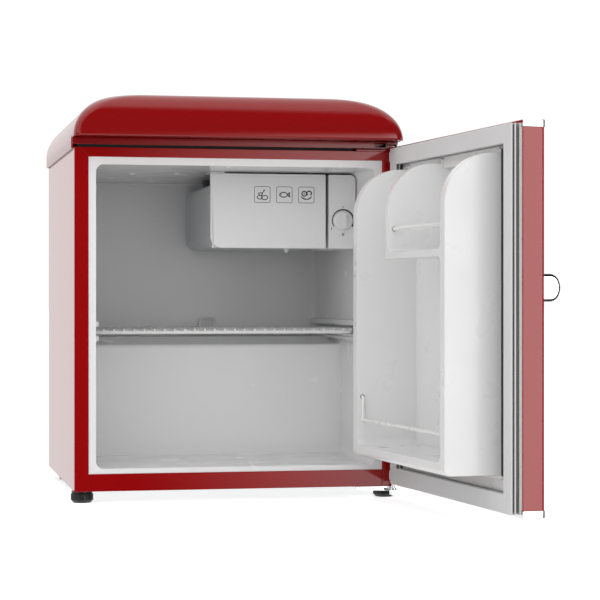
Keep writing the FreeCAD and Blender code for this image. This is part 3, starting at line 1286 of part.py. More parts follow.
def discharge_tube():
    """Copper line from the compressor up to the condenser."""
    _, x, z_coil, _, y = condenser_spec()
    z = COMPRESSOR_Z + 88.0
    y_shell = CY + 20.0
    return bent_bar([V(CX + COMPRESSOR_D / 2 - 4.0, y_shell, z), V(x, y_shell, z), V(x, y, z),
                     V(x, y, z_coil - CONDENSER_TUBE_D / 2)], CONDENSER_TUBE_D, 9.0)


def condenser_spec():
    """Left, right, lower run and pitch of the condenser's serpentine, and its plane."""
    x0 = XL + CONDENSER_INSET
    x1 = XR - CONDENSER_INSET
    z0 = BAY_Z1 + CONDENSER_RISE
    z1 = ZT - CONDENSER_TOP_GAP
    return x0, x1, z0, (z1 - z0) / (CONDENSER_RUNS - 1), YB + SHEET + CONDENSER_STANDOFF


def condenser_coil():
    """Serpentine condenser tube on the back of the cabinet."""
    x0, x1, z0, pitch, y = condenser_spec()
    points = []
    for i in range(CONDENSER_RUNS):
        ends = (x1, x0) if i % 2 == 0 else (x0, x1)
        points += [V(x, y, z0 + i * pitch) for x in ends]
    return bent_bar(points, CONDENSER_TUBE_D, pitch / 2 - 0.2)


def condenser_wires():
    """Thin steel wires welded on both sides of the condenser tube."""
    x0, x1, z0, pitch, y = condenser_spec()
    length = pitch * (CONDENSER_RUNS - 1) + 8.0
    inner = (pitch + CLIP_W) / 2
    step = (x1 - x0 - 2 * inner) / (CONDENSER_WIRES - 1)
    offset = CONDENSER_TUBE_D / 2 + CONDENSER_WIRE_D / 2 - 0.2
    wires = []
    for i in range(CONDENSER_WIRES):
        side = 1 if i % 2 else -1
        start = V(x0 + inner + i * step, y + side * offset, z0 - 4.0)
        wires.append(rod(start, V(0, 0, 1), CONDENSER_WIRE_D, length))
    return group(wires)


def condenser_brackets():
    """Four clips that hold the condenser off the back panel."""
    x0, x1, z0, pitch, y = condenser_spec()
    clips = []
    y_wall = YB + SHEET
    bend = pitch / 2
    for x in (x0 + bend, x1 - bend - CLIP_W):
        for run in (1, CONDENSER_RUNS - 2):
            z = z0 + run * pitch
            web = box(x, x + CLIP_W, y_wall, y + CONDENSER_TUBE_D / 2 + 1.5, z - 4.0, z + 4.0)
            foot = box(x, x + CLIP_W, y_wall, y_wall + 1.5, z - 11.0, z + 11.0)
            clips.append(fuse([web, foot]).cut(rod(V(x - 1, y, z), V(1, 0, 0), CONDENSER_TUBE_D, CLIP_W + 2)))
    wires = condenser_wires()
    return group(clip.cut(wires) for clip in clips)


def filter_drier():
    """Copper filter drier between the condenser and the capillary tube."""
    x = XL + 60.0
    y = YB - 24.0
    z = BAY_Z1 - 20.0
    profile = ((0, 0), (1.2, 0), (2.0, 4.0), (8.0, 12.0), (8.0, 74.0), (2.6, 84.0), (2.6, 92.0), (0, 92.0))
    return lathe(profile, V(x, y, z - 92.0))


def evaporating_pan():
    """Shallow tray over the compressor in which melt water dries off."""
    profile = ((0, 0), (46.0, 0), (50.0, 3.0), (50.0, 8.0), (48.5, 8.0), (48.5, 3.5), (45.5, 1.6), (0, 1.6))
    return lathe(profile, V(CX, CY, COMPRESSOR_Z + COMPRESSOR_H + 1.0))


def gland_place():
    """Where the mains lead enters: the middle of the right side panel's rear flange."""
    return V(XR - (REAR_FLANGE + SHEET) / 2, YB, Z0 + GLAND_Z)


def cord_gland():
    """Moulded inlet of the mains lead: a grooved grommet in the rear flange, with a short snout."""
    bore = GLAND_BORE / 2
    neck = GLAND_D / 2
    head = neck + 1.0
    profile = ((bore, -3.0), (neck, -3.0), (neck, 0), (head, 0), (head, 2.0), (neck, 2.0),
               (neck - 1.2, 7.0), (bore, 7.0))
    return lathe(profile, gland_place(), V(0, 1, 0))


def rear_screws():
    """Screws round the edge of the back panel."""
    screws = []
    for x in (XL + 9.5, XR - 9.5):
        for z in (BAY_Z1 + 16.0, (BAY_Z1 + ZT) / 2, ZT - 18.0):
            screws.append(screw(V(x, YB + SHEET, z), V(0, -1, 0), SHEET + 5.0))
    return screws


# ---------------------------------------------------------------- assembly
def build():
    """Every sub-part by name."""
    liner_of_door = door_liner()
    left, right = front_foot_places()
    screws = group(lower_hinge_screws() + upper_hinge_screws() + rear_screws())
    gland_hole = rod(gland_place() - V(0, 5, 0), V(0, 1, 0), GLAND_D, 10)
    handle_holes = group([rod(door_point(w, -DOOR_T - 0.5, HANDLE_Z), V(0, 1, 0), SCREW_D, 2.0)
                          for w in handle_feet()])
    parts = {
        "side_panel_left": side_panel(-1).cut(screws),
        "side_panel_right": side_panel(1).cut(gland_hole).cut(screws),
        "back_panel": back_panel().cut(screws),
        "base_plate": base_plate().cut(screws),
        "top_plate": top_plate().cut(screws),
        "foam_insulation": foam_insulation().cut(screws),
        "top_rail": top_rail().cut(screws),
        "bottom_rail": bottom_rail(),
        "top_cover": top_cover(),
        "top_trim_band": top_trim_band(),
        "band_spacer": band_spacer(),
        "inner_liner": inner_liner(),
        "compressor_bay_plate": bay_plate(),
        "ice_box": ice_box(),
        "ice_box_hangers": ice_box_hangers(),
        "ice_box_nipple": ice_box_nipple(),
        "freezer_flap_bracket": flap_bracket(),
        "thermostat_housing": thermostat_housing(),
        "thermostat_switch": thermostat_switch(),
        "thermostat_sensing_tube": sensing_tube(),
        "ceiling_plugs": ceiling_plugs(),
        "levelling_nuts": levelling_nuts(),
        "rear_feet": rear_feet(),
        "lower_hinge_bracket": lower_hinge_bracket().cut(screws),
        "lower_hinge_pin": lower_hinge_pin(),
        "upper_hinge_bracket": upper_hinge_bracket().cut(screws),
        "upper_hinge_pin": upper_hinge_pin(),
        "cabinet_screws": screws,
        "compressor": compressor(),
        "compressor_rail": compressor_rail(),
        "compressor_grommets": compressor_grommets(),
        "compressor_bolts": compressor_bolts(),
        "relay_box": relay_box(),
        "suction_tube": suction_tube(),
        "discharge_tube": discharge_tube(),
        "filter_drier": filter_drier(),
        "evaporating_pan": evaporating_pan(),
        "condenser_coil": condenser_coil(),
        "condenser_wires": condenser_wires(),
        "condenser_brackets": condenser_brackets(),
        "cord_gland": cord_gland(),
        "levelling_foot_left": levelling_foot(*left),
        "levelling_foot_right": levelling_foot(*right),
        "freezer_flap": freezer_flap(),
        "thermostat_knob": thermostat_knob(),
        "shelf_frame": shelf_frame(),
        "shelf_wires": shelf_wires(),
        "shelf_stop": shelf_stop(),
    }
    door_parts = {
        "door_skin": door_skin().cut(handle_holes),
        "door_top_cap": door_cap(True),
        "door_bottom_cap": door_cap(False),
        "door_liner": liner_of_door,
        "door_foam": door_foam(liner_of_door),
        "door_gasket": gasket(),
        "door_handle": handle(),
        "handle_screws": handle_screws(),
        "hinge_knuckles": hinge_knuckles(),
        "hinge_bushes": hinge_bushes(),
        "rack_bar": rack_bar(),
        "bottle_rail": bottle_rail(),
    }
    for name, shape in door_parts.items():
        parts[name] = opened(shape)
    return parts


os.makedirs("parts", exist_ok=True)
for node, shape in build().items():
    shape.exportStep("parts/" + node + ".step")
    print(node, len(shape.Solids), shape.isValid(), round(shape.Volume / 1000, 2))
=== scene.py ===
import json
import math

import bmesh
import bpy
import numpy as np
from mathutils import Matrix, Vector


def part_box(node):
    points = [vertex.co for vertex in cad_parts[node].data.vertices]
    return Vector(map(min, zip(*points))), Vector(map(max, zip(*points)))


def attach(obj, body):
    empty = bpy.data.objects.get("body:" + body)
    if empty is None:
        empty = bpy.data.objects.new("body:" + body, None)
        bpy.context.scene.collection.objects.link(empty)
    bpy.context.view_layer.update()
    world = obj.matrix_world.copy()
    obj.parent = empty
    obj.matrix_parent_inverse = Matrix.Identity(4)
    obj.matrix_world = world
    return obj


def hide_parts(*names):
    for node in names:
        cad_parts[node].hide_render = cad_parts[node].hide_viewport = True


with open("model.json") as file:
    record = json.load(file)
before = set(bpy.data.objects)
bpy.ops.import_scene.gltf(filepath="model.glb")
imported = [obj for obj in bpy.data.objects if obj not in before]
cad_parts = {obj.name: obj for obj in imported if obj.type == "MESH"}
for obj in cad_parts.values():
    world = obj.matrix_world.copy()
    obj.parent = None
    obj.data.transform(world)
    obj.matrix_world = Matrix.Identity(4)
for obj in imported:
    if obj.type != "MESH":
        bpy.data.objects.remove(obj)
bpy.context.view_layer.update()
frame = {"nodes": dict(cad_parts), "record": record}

# ---------------------------------------------------------------- camera
# A long lens at the height of the shelf, a little to the left, so the left side panel shows at a grazing
# angle and the open door is seen almost edge-on.
camera_data = bpy.data.cameras.new("studio_camera")
camera_data.lens = 119.8
camera_data.sensor_width = 36.0
camera_data.clip_end = 60.0
camera = bpy.data.objects.new("studio_camera", camera_data)
camera.location = (-0.466, -2.869, 0.2706)
camera.rotation_euler = (math.radians(90.0), 0.0, math.radians(-11.739))
bpy.context.scene.collection.objects.link(camera)
bpy.context.scene.camera = camera
bpy.context.scene.view_settings.view_transform = "Standard"

# ---------------------------------------------------------------- studio: floor
# A pale matt floor that runs on as far as the eye sees. It belongs to the studio, not to the refrigerator.
FLOOR_REACH = 60.0
FLOOR_GLOW = 0.6


def grid_mesh(name, points, wrap_rows=False, wrap_columns=False):
    """A mesh from a grid of points (rows, columns, 3): one quad between each four neighbours.

    A wrapped direction joins its last line of points to its first.
    """
    rows, columns = points.shape[:2]
    r = np.arange(rows if wrap_rows else rows - 1)[:, None]
    c = np.arange(columns if wrap_columns else columns - 1)[None, :]
    r1 = (r + 1) % rows
    c1 = (c + 1) % columns
    quads = np.stack([r * columns + c, r * columns + c1, r1 * columns + c1, r1 * columns + c], axis=-1)
    mesh = bpy.data.meshes.new(name)
    mesh.from_pydata(points.reshape(-1, 3), [], quads.reshape(-1, 4).tolist())
    mesh.update()
    return mesh


def place(name, mesh, *finishes):
    """Links a mesh to the scene as an object at the origin and gives it its finishes."""
    piece = bpy.data.objects.new(name, mesh)
    for finish in finishes:
        mesh.materials.append(finish)
    bpy.context.scene.collection.objects.link(piece)
    return piece


reach = np.array([-FLOOR_REACH, FLOOR_REACH])
floor_points = np.stack(np.broadcast_arrays(reach[None, :], reach[:, None], 0.0), axis=-1)
floor_finish = bpy.data.materials.new("studio_floor")
floor_finish.use_nodes = True
floor_shader = floor_finish.node_tree.nodes["Principled BSDF"]
floor_shader.inputs["Base Color"].default_value = (0.90, 0.90, 0.90, 1.0)
floor_shader.inputs["Roughness"].default_value = 1.0
floor_shader.inputs["Specular IOR Level"].default_value = 0.0
floor_shader.inputs["Emission Color"].default_value = (1.0, 1.0, 1.0, 1.0)
straight_look = floor_finish.node_tree.nodes.new("ShaderNodeLightPath").outputs["Is Camera Ray"]
floor_lift = floor_finish.node_tree.nodes.new("ShaderNodeMath")
floor_lift.operation = "MULTIPLY"
floor_lift.inputs[1].default_value = FLOOR_GLOW
floor_finish.node_tree.links.new(straight_look, floor_lift.inputs[0])
floor_finish.node_tree.links.new(floor_lift.outputs["Value"], floor_shader.inputs["Emission Strength"])
studio_floor = place("studio_floor", grid_mesh("studio_floor", floor_points), floor_finish)
studio_floor.visible_glossy = False

# ---------------------------------------------------------------- studio: light
# White surroundings, dark straight ahead of the refrigerator from the horizon to nearly overhead and to its
# right, so the red paint keeps its depth; a bright field at the front right; one large soft light overhead.
MIRRORED_LEVEL = 0.95
FRONT_DARK = 0.01
FRONT_FIELD = 3.3
SHED_LEVEL = 0.62
SHED_FRONT = 0.74
RIGHT_DARK = 0.92
BACKDROP_LEVEL = 1.05
world = bpy.data.worlds.new("studio_world")
bpy.context.scene.world = world
world.use_nodes = True
world.cycles.sampling_method = "NONE"
world_tree = world.node_tree
room = world_tree.nodes["Background"]
room.inputs["Color"].default_value = (1.0, 1.0, 1.0, 1.0)
room.inputs["Strength"].default_value = 1.0
direction = world_tree.nodes.new("ShaderNodeTexCoord")


def facing(towards, inner, outer):
    """A smooth field of the surroundings: 1 within inner degrees of a direction, 0 beyond outer degrees."""
    aim = np.array(towards, float)
    aim /= np.linalg.norm(aim)
    dot = world_tree.nodes.new("ShaderNodeVectorMath")
    dot.operation = "DOT_PRODUCT"
    dot.inputs[1].default_value = aim
    ramp = world_tree.nodes.new("ShaderNodeMapRange")
    ramp.interpolation_type = "SMOOTHSTEP"
    ramp.inputs["From Min"].default_value = math.cos(math.radians(outer))
    ramp.inputs["From Max"].default_value = math.cos(math.radians(inner))
    world_tree.links.new(direction.outputs["Generated"], dot.inputs[0])
    world_tree.links.new(dot.outputs["Value"], ramp.inputs["Value"])
    return ramp.outputs["Result"]


def combine(operation, first, second, third=None):
    """One arithmetic node of the surroundings; each input is a socket or a number."""
    node = world_tree.nodes.new("ShaderNodeMath")
    node.operation = operation
    for socket, value in zip(node.inputs, (first, second, third)):
        if value is None:
            continue
        if isinstance(value, (int, float)):
            socket.default_value = value
        else:
            world_tree.links.new(value, socket)
    return node.outputs["Value"]


front_low = facing((-0.16, -1.0, 0.05), 24.0, 42.0)
front_high = facing((-0.16, -0.74, 0.66), 30.0, 46.0)
right_field = facing((1.0, -0.45, 0.10), 42.0, 56.0)
bright_field = facing((0.454, -0.891, 0.04), 3.0, 21.5)
mirrored = combine("MULTIPLY_ADD", combine("MAXIMUM", front_low, front_high), FRONT_DARK - MIRRORED_LEVEL,
                   MIRRORED_LEVEL)
mirrored = combine("MULTIPLY", mirrored, combine("MULTIPLY_ADD", right_field, -RIGHT_DARK, 1.0))
mirrored = combine("MULTIPLY_ADD", bright_field, FRONT_FIELD, mirrored)
shed = combine("MULTIPLY_ADD", facing((-0.35, -1.0, 0.25), 25.0, 85.0), SHED_FRONT, SHED_LEVEL)
rays = world_tree.nodes.new("ShaderNodeLightPath")
level = combine("MULTIPLY_ADD", rays.outputs["Is Glossy Ray"], combine("SUBTRACT", mirrored, shed), shed)
level = combine("MULTIPLY_ADD", rays.outputs["Is Camera Ray"],
                combine("SUBTRACT", BACKDROP_LEVEL, level), level)
world_tree.links.new(level, room.inputs["Strength"])


def soft_light(name, place_at, aim, size, power):
    """A rectangular area light at a point, turned towards another and hidden from the camera itself."""
    data = bpy.data.lights.new(name, "AREA")
    data.shape = "RECTANGLE"
    data.size, data.size_y = size
    data.energy = power
    lamp = bpy.data.objects.new(name, data)
    lamp.location = place_at
    away = np.array(place_at) - np.array(aim)
    lamp.rotation_euler = (
        math.atan2(math.hypot(away[0], away[1]), away[2]), 0.0, math.atan2(away[0], -away[1]))
    lamp.visible_camera = False
    lamp.visible_glossy = False
    bpy.context.scene.collection.objects.link(lamp)


soft_light("overhead_light", (0.0, 0.7, 3.2), (0.0, 0.1, 0.0), (4.0, 3.0), 30.0)

# ---------------------------------------------------------------- side panels and rails
# Folded steel sheet, sprayed in deep red gloss enamel after folding. The stiles and the top rail meet in a
# mitre, the bottom rail is butted between them, and every fold has a small radius.
body_of = {node: body for body, nodes in frame["record"]["behaviour"]["bodies"].items() for node in nodes}


def surface(name, colour, roughness, **sockets):
    """A Principled finish; every value that is the same all over sits on the shader's own socket."""
    finish = bpy.data.materials.new(name)
    finish.use_nodes = True
    shader = finish.node_tree.nodes["Principled BSDF"]
    shader.inputs["Base Color"].default_value = (*colour, 1.0)
    shader.inputs["Roughness"].default_value = roughness
    for socket, value in sockets.items():
        shader.inputs[socket.replace("_", " ")].default_value = value
    return finish


def noise_on(finish, scale, detail=3.0, stretch=(1.0, 1.0, 1.0)):
    """Noise read from the piece's own coordinates: value = noise(position * stretch * scale)."""
    nodes = finish.node_tree.nodes
    links = finish.node_tree.links
    where = nodes.new("ShaderNodeTexCoord")
    mapping = nodes.new("ShaderNodeMapping")
    mapping.inputs["Scale"].default_value = stretch
    noise = nodes.new("ShaderNodeTexNoise")
    noise.inputs["Scale"].default_value = scale
    noise.inputs["Detail"].default_value = detail
    links.new(where.outputs["Object"], mapping.inputs["Vector"])
    links.new(mapping.outputs["Vector"], noise.inputs["Vector"])
    return noise.outputs["Fac"]


def vary(finish, socket, low, high, scale, detail=3.0, stretch=(1.0, 1.0, 1.0)):
    """Lets a shader socket wander: value = low + (high - low) * noise, for a number or a colour."""
    nodes = finish.node_tree.nodes
    links = finish.node_tree.links
    shader = nodes["Principled BSDF"]
    value = noise_on(finish, scale, detail, stretch)
    if isinstance(low, tuple):
        blend = nodes.new("ShaderNodeMix")
        blend.data_type = "RGBA"
        blend.inputs["A"].default_value = (*low, 1.0)
        blend.inputs["B"].default_value = (*high, 1.0)
        links.new(value, blend.inputs["Factor"])
        links.new(blend.outputs["Result"], shader.inputs[socket])
        return
    ramp = nodes.new("ShaderNodeMapRange")
    ramp.inputs["From Min"].default_value = 0.3
    ramp.inputs["From Max"].default_value = 0.7
    ramp.inputs["To Min"].default_value = low
    ramp.inputs["To Max"].default_value = high
    links.new(value, ramp.inputs["Value"])
    links.new(ramp.outputs["Result"], shader.inputs[socket])


def soften(finish, radius):
    """Lets edges catch the light as if rounded: the normal is the mean of those within a radius."""
    nodes = finish.node_tree.nodes
    rounded = nodes.new("ShaderNodeBevel")
    rounded.samples = 8
    rounded.inputs["Radius"].default_value = radius
    shader = nodes["Principled BSDF"]
    linked = shader.inputs["Normal"].links
    target = linked[0].from_node.inputs["Normal"] if linked else shader.inputs["Normal"]
    finish.node_tree.links.new(rounded.outputs["Normal"], target)


def ripple(finish, scale, depth, strength=1.0, detail=2.0, stretch=(1.0, 1.0, 1.0), coat=False):
    """Fine relief: the surface height is noise(position * scale) times a depth in metres."""
    nodes = finish.node_tree.nodes
    links = finish.node_tree.links
    bump = nodes.new("ShaderNodeBump")
    bump.inputs["Strength"].default_value = strength
    bump.inputs["Distance"].default_value = depth
    links.new(noise_on(finish, scale, detail, stretch), bump.inputs["Height"])
    links.new(bump.outputs["Normal"], nodes["Principled BSDF"].inputs["Coat Normal" if coat else "Normal"])


def show(node, finish):
    """Gives a CAD node, shown as it is, its finish."""
    holder = frame["nodes"][node]
    for material_slot in holder.material_slots:
        material_slot.material = finish


STRIP_WIDTH = 0.0045
WELD_DISTANCE = 1e-6
FLAT_WITHIN = 0.5
BEND_FROM = 0.6
EASED_SHARE = 0.4
LEAST_EASED = 0.02


def eased(node, name, finish, width, segments=2, crease=30.0, shortest=0.0013, edge_finish=None):
    """A node's own surface as one closed skin whose sharp edges are rounded.

    Corners are merged and flat triangles joined to whole faces. Each edge sharper than crease degrees is
    rounded over width, or over EASED_SHARE of the narrower face beside it where that is less. Edges shorter
    than shortest belong to small holes and stay sharp. Strips of a curve narrower than STRIP_WIDTH are
    shaded smooth, all other faces flat.
    """
    mesh = frame["nodes"][node].data.copy()
    mesh.name = name
    if "custom_normal" in mesh.attributes:
        mesh.attributes.remove(mesh.attributes["custom_normal"])
    work = bmesh.new()
    work.from_mesh(mesh)
    bmesh.ops.remove_doubles(work, verts=work.verts, dist=WELD_DISTANCE)
    bmesh.ops.dissolve_limit(work, angle_limit=math.radians(FLAT_WITHIN), verts=work.verts, edges=work.edges)
    work.to_mesh(mesh)
    work.free()
    normals = np.zeros(len(mesh.polygons) * 3)
    areas = np.zeros(len(mesh.polygons))
    corners = np.zeros(len(mesh.polygons), int)
    loop_edges = np.zeros(len(mesh.loops), int)
    ends = np.zeros(len(mesh.edges) * 2, int)
    points = np.zeros(len(mesh.vertices) * 3)
    mesh.polygons.foreach_get("normal", normals)
    mesh.polygons.foreach_get("area", areas)
    mesh.polygons.foreach_get("loop_total", corners)
    mesh.loops.foreach_get("edge_index", loop_edges)
    mesh.edges.foreach_get("vertices", ends)
    mesh.vertices.foreach_get("co", points)
    face_of_loop = np.repeat(np.arange(len(corners)), corners)
    beside = face_of_loop[np.argsort(loop_edges, kind="stable")].reshape(-1, 2)
    normals = normals.reshape(-1, 3)
    points = points.reshape(-1, 3)
    ends = ends.reshape(-1, 2)
    length = np.linalg.norm(points[ends[:, 0]] - points[ends[:, 1]], axis=1)
    cosines = np.sum(normals[beside[:, 0]] * normals[beside[:, 1]], axis=1)
    turned = cosines < math.cos(math.radians(crease))
    room_beside = areas[beside].min(axis=1) / np.maximum(length, WELD_DISTANCE)
    share = np.clip(EASED_SHARE * room_beside / width, 0.0, 1.0) * turned * (length > shortest)
    weight = mesh.attributes.new("bevel_weight_edge", "FLOAT", "EDGE")
    weight.data.foreach_set("value", share.astype(np.float32))
    sharp = mesh.attributes.get("sharp_edge") or mesh.attributes.new("sharp_edge", "BOOLEAN", "EDGE")
    sharp.data.foreach_set("value", turned & (share < LEAST_EASED))
    bent = (cosines < math.cos(math.radians(BEND_FROM))) & ~turned
    curved = np.zeros(len(mesh.polygons), bool)
    curved[beside[bent].ravel()] = True
    longest = np.zeros(len(mesh.polygons))
    np.maximum.at(longest, beside.ravel(), np.repeat(length, 2))
    curved &= areas / np.maximum(longest, WELD_DISTANCE) < STRIP_WIDTH
    mesh.polygons.foreach_set("use_smooth", curved)
    mesh.materials.clear()
    piece = place(name, mesh, finish)
    rounding = piece.modifiers.new("eased_edges", "BEVEL")
    rounding.limit_method = "WEIGHT"
    rounding.width = width
    rounding.segments = segments
    rounding.use_clamp_overlap = False
    if edge_finish is not None:
        mesh.materials.append(edge_finish)
        rounding.material = 1
    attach(piece, body_of[node])
    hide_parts(node)
    return piece


RED = (0.34, 0.0035, 0.0045)
DEEPER_RED = (0.30, 0.0028, 0.0036)
enamel = surface("red_enamel", RED, 0.5, Specular_IOR_Level=0.0, Coat_Weight=1.0, Coat_Roughness=0.04,
                 Coat_IOR=1.55)
vary(enamel, "Base Color", RED, DEEPER_RED, 3.0)
ripple(enamel, 420.0, 0.000004, 0.25, coat=True)
eased("side_panel_left", "left_side_painted", enamel, 0.0006)
eased("side_panel_right", "right_side_painted", enamel, 0.0006)
eased("top_rail", "top_rail_painted", enamel, 0.0005)
eased("bottom_rail", "bottom_rail_painted", enamel, 0.0005)

# ---------------------------------------------------------------- steel plates of the casing
# Bare galvanised sheet closes the top, the bottom and the back of the insulation and roofs the compressor
# bay. The zinc shows as faint crystals of different grey.
def galvanised(name, grey, crystal):
    """Zinc-coated sheet: each crystal of a Voronoi pattern has its own grey and its own gloss."""
    finish = surface(name, (grey, grey, grey), 0.4, Metallic=1.0)
    nodes = finish.node_tree.nodes
    links = finish.node_tree.links
    where = nodes.new("ShaderNodeTexCoord")
    cells = nodes.new("ShaderNodeTexVoronoi")
    cells.inputs["Scale"].default_value = 1.0 / crystal
    links.new(where.outputs["Object"], cells.inputs["Vector"])
    tone = nodes.new("ShaderNodeMix")
    tone.data_type = "RGBA"
    tone.inputs["A"].default_value = (grey * 0.78, grey * 0.79, grey * 0.81, 1.0)
    tone.inputs["B"].default_value = (grey * 1.12, grey * 1.13, grey * 1.15, 1.0)
    gloss = nodes.new("ShaderNodeMapRange")
    gloss.inputs["To Min"].default_value = 0.28
    gloss.inputs["To Max"].default_value = 0.5
    grey_of_cell = nodes.new("ShaderNodeSeparateColor")
    links.new(cells.outputs["Color"], grey_of_cell.inputs["Color"])
    links.new(grey_of_cell.outputs["Red"], tone.inputs["Factor"])
    links.new(grey_of_cell.outputs["Green"], gloss.inputs["Value"])
    links.new(tone.outputs["Result"], nodes["Principled BSDF"].inputs["Base Color"])
    links.new(gloss.outputs["Result"], nodes["Principled BSDF"].inputs["Roughness"])
    return finish


ZINC_GREY = 0.52
ZINC_CRYSTAL = 0.007
zinc_sheet = galvanised("zinc_sheet", ZINC_GREY, ZINC_CRYSTAL)
for node in ("back_panel", "base_plate", "top_plate", "compressor_bay_plate", "compressor_rail",
             "ice_box_hangers"):
    show(node, zinc_sheet)

# ---------------------------------------------------------------- foam
# Polyurethane foam, blown into the casing and the door, so it has a pale yellow skin with fine cells.
foam = surface("blown_foam", (0.80, 0.70, 0.45), 0.95)
vary(foam, "Base Color", (0.84, 0.74, 0.48), (0.70, 0.58, 0.34), 60.0, 6.0)
ripple(foam, 700.0, 0.0006, 0.8, 4.0)
show("foam_insulation", foam)
show("door_foam", foam)

# ---------------------------------------------------------------- top cover
# One injection moulding in red ABS: a long rolled dome that overhangs the door, with skirts that grip the
# sides and the back of the casing. Its gloss is softer than the enamel's.
dome_low, dome_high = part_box("top_cover")
ROLL_SIDE = 0.073
ROLL_FRONT = 0.048
ROLL_BACK = 0.060
ROLL_RISE = 0.0585
CROWN = 0.005
FRONT_CORNER = 0.014
REAR_CORNER = 0.004
DOME_WALL = 0.0025
SKIRT_SETBACK = 0.005
ROLL_END = 88.0
ROLL_STEPS = 30
CROWN_STEPS = 22
ARC_STEPS = 10
SIDE_STEPS = 24
lip_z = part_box("top_trim_band")[1].z
skirt_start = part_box("top_rail")[0].y + SKIRT_SETBACK
side_front = dome_low.y + FRONT_CORNER
side_back = dome_high.y - REAR_CORNER
SKIRT_SHARE = (skirt_start - side_front) / (side_back - side_front)


def rounded_outline(x0, x1, y0, y1, front_radius, rear_radius, mark):
    """Points round a rectangle with quarter-circle corners, anticlockwise from the front left.

    A point on a corner is its centre plus radius times (cos, sin) of an angle that runs a quarter turn;
    the straight sides between them are divided evenly. The left and right side have a doubled point more,
    at the share mark of their length from the front.
    """
    quarter = np.linspace(0.0, math.pi / 2, ARC_STEPS + 1)
    corner_list = (
        (x0 + front_radius, y0 + front_radius, front_radius, math.pi),
        (x1 - front_radius, y0 + front_radius, front_radius, 1.5 * math.pi),
        (x1 - rear_radius, y1 - rear_radius, rear_radius, 0.0),
        (x0 + rear_radius, y1 - rear_radius, rear_radius, 0.5 * math.pi),
    )
    arcs = [np.stack([cx + r * np.cos(a + quarter), cy + r * np.sin(a + quarter)], axis=-1)
            for cx, cy, r, a in corner_list]
    even = np.linspace(0.0, 1.0, SIDE_STEPS + 1)[1:-1]
    marked = np.sort(np.append(even, (mark, mark)))
    outline = []
    for i, shares in enumerate((even, marked, even, 1.0 - marked[::-1])):
        start, end = arcs[i][-1], arcs[(i + 1) % 4][0]
        outline += [arcs[i], start + (end - start) * shares[:, None]]
    return np.concatenate(outline)


def dome_ring(roll, inward=0.0):
    """One level of the dome. The roll turns from upright (0) to flat (a quarter turn).

    Each side moves in by its own roll width times (1 - cos roll). The height is the lip's plus the rise
    times sin roll. Inward then shrinks the ring towards the middle while the crown rises as
    1 - (1 - inward)^2.
    """
    shrink = 1.0 - math.cos(roll)
    x0 = dome_low.x + ROLL_SIDE * shrink
    x1 = dome_high.x - ROLL_SIDE * shrink
    y0 = dome_low.y + ROLL_FRONT * shrink
    y1 = dome_high.y - ROLL_BACK * shrink
    grown = 0.5 * ROLL_FRONT * shrink
    ring = rounded_outline(x0, x1, y0, y1, FRONT_CORNER + grown, REAR_CORNER + grown, SKIRT_SHARE)
    middle = np.array([(x0 + x1) / 2, (y0 + y1) / 2])
    ring = middle + (ring - middle) * (1.0 - inward)
    height = lip_z + ROLL_RISE * math.sin(roll) + CROWN * (1.0 - (1.0 - inward) ** 2)
    return np.column_stack([ring, np.full(len(ring), height)])


rolls = np.radians(np.linspace(0.0, ROLL_END, ROLL_STEPS))
rings = [dome_ring(roll) for roll in rolls]
rings += [dome_ring(rolls[-1], inward) for inward in np.linspace(0.04, 1.0, CROWN_STEPS)]
dome_points = np.array(rings)

# The skirt is the first ring, let down behind the doubled points on the two sides.
skirt = dome_points[0].copy()
below_line = skirt[:, 1] > skirt_start + 1e-5
doubled = np.where(np.abs(skirt[:, 1] - skirt_start) < 1e-5)[0]
below_line[doubled[1]] = True
below_line[doubled[2]] = True
skirt[below_line, 2] = dome_low.z
dome_points = np.concatenate([skirt[None], dome_points])
dome_mesh = grid_mesh("domed_cover", dome_points, wrap_columns=True)


def tidy(mesh):
    """Merges doubled points, drops collapsed faces and turns every face outwards."""
    work = bmesh.new()
    work.from_mesh(mesh)
    bmesh.ops.remove_doubles(work, verts=work.verts, dist=2e-6)
    bmesh.ops.dissolve_degenerate(work, edges=work.edges, dist=1e-6)
    bmesh.ops.recalc_face_normals(work, faces=work.faces)
    work.to_mesh(mesh)
    work.free()
    mesh.shade_smooth()


tidy(dome_mesh)
MOULDED = (0.27, 0.0030, 0.0038)
moulded_red = surface("red_moulding", MOULDED, 0.5, Specular_IOR_Level=0.0, Coat_Weight=1.0,
                      Coat_Roughness=0.12, Coat_IOR=1.55)
vary(moulded_red, "Base Color", MOULDED, (0.25, 0.0026, 0.0034), 4.0)
ripple(moulded_red, 900.0, 0.00001, 0.2, coat=True)
dome = place("domed_cover", dome_mesh, moulded_red)
wall = dome.modifiers.new("wall", "SOLIDIFY")
wall.thickness = DOME_WALL
wall.offset = -1.0
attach(dome, "cabinet")
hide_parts("top_cover")

soffit_x = np.array([dome_low.x + DOME_WALL, dome_high.x - DOME_WALL])
soffit_y = np.array([dome_low.y + DOME_WALL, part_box("top_trim_band")[1].y])
# A flat sheet closes the cover from below, over the band.
SOFFIT_LIFT = 0.0004
SOFFIT_WALL = 0.002
soffit_points = np.stack(
    np.broadcast_arrays(soffit_x[None, ::-1], soffit_y[:, None], lip_z + SOFFIT_LIFT), axis=-1)
soffit = place("cover_soffit", grid_mesh("cover_soffit", soffit_points), moulded_red)
sheet_wall = soffit.modifiers.new("wall", "SOLIDIFY")
sheet_wall.thickness = SOFFIT_WALL
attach(soffit, "cabinet")

# ---------------------------------------------------------------- trim band
# A red moulded strip under the cover's front edge. It hides the joint and has the slot of the upper hinge.
eased("top_trim_band", "trim_band_moulded", moulded_red, 0.0006)
black_foam = surface("black_foam_strip", (0.012, 0.012, 0.013), 0.95)
ripple(black_foam, 1500.0, 0.0002)
show("band_spacer", black_foam)

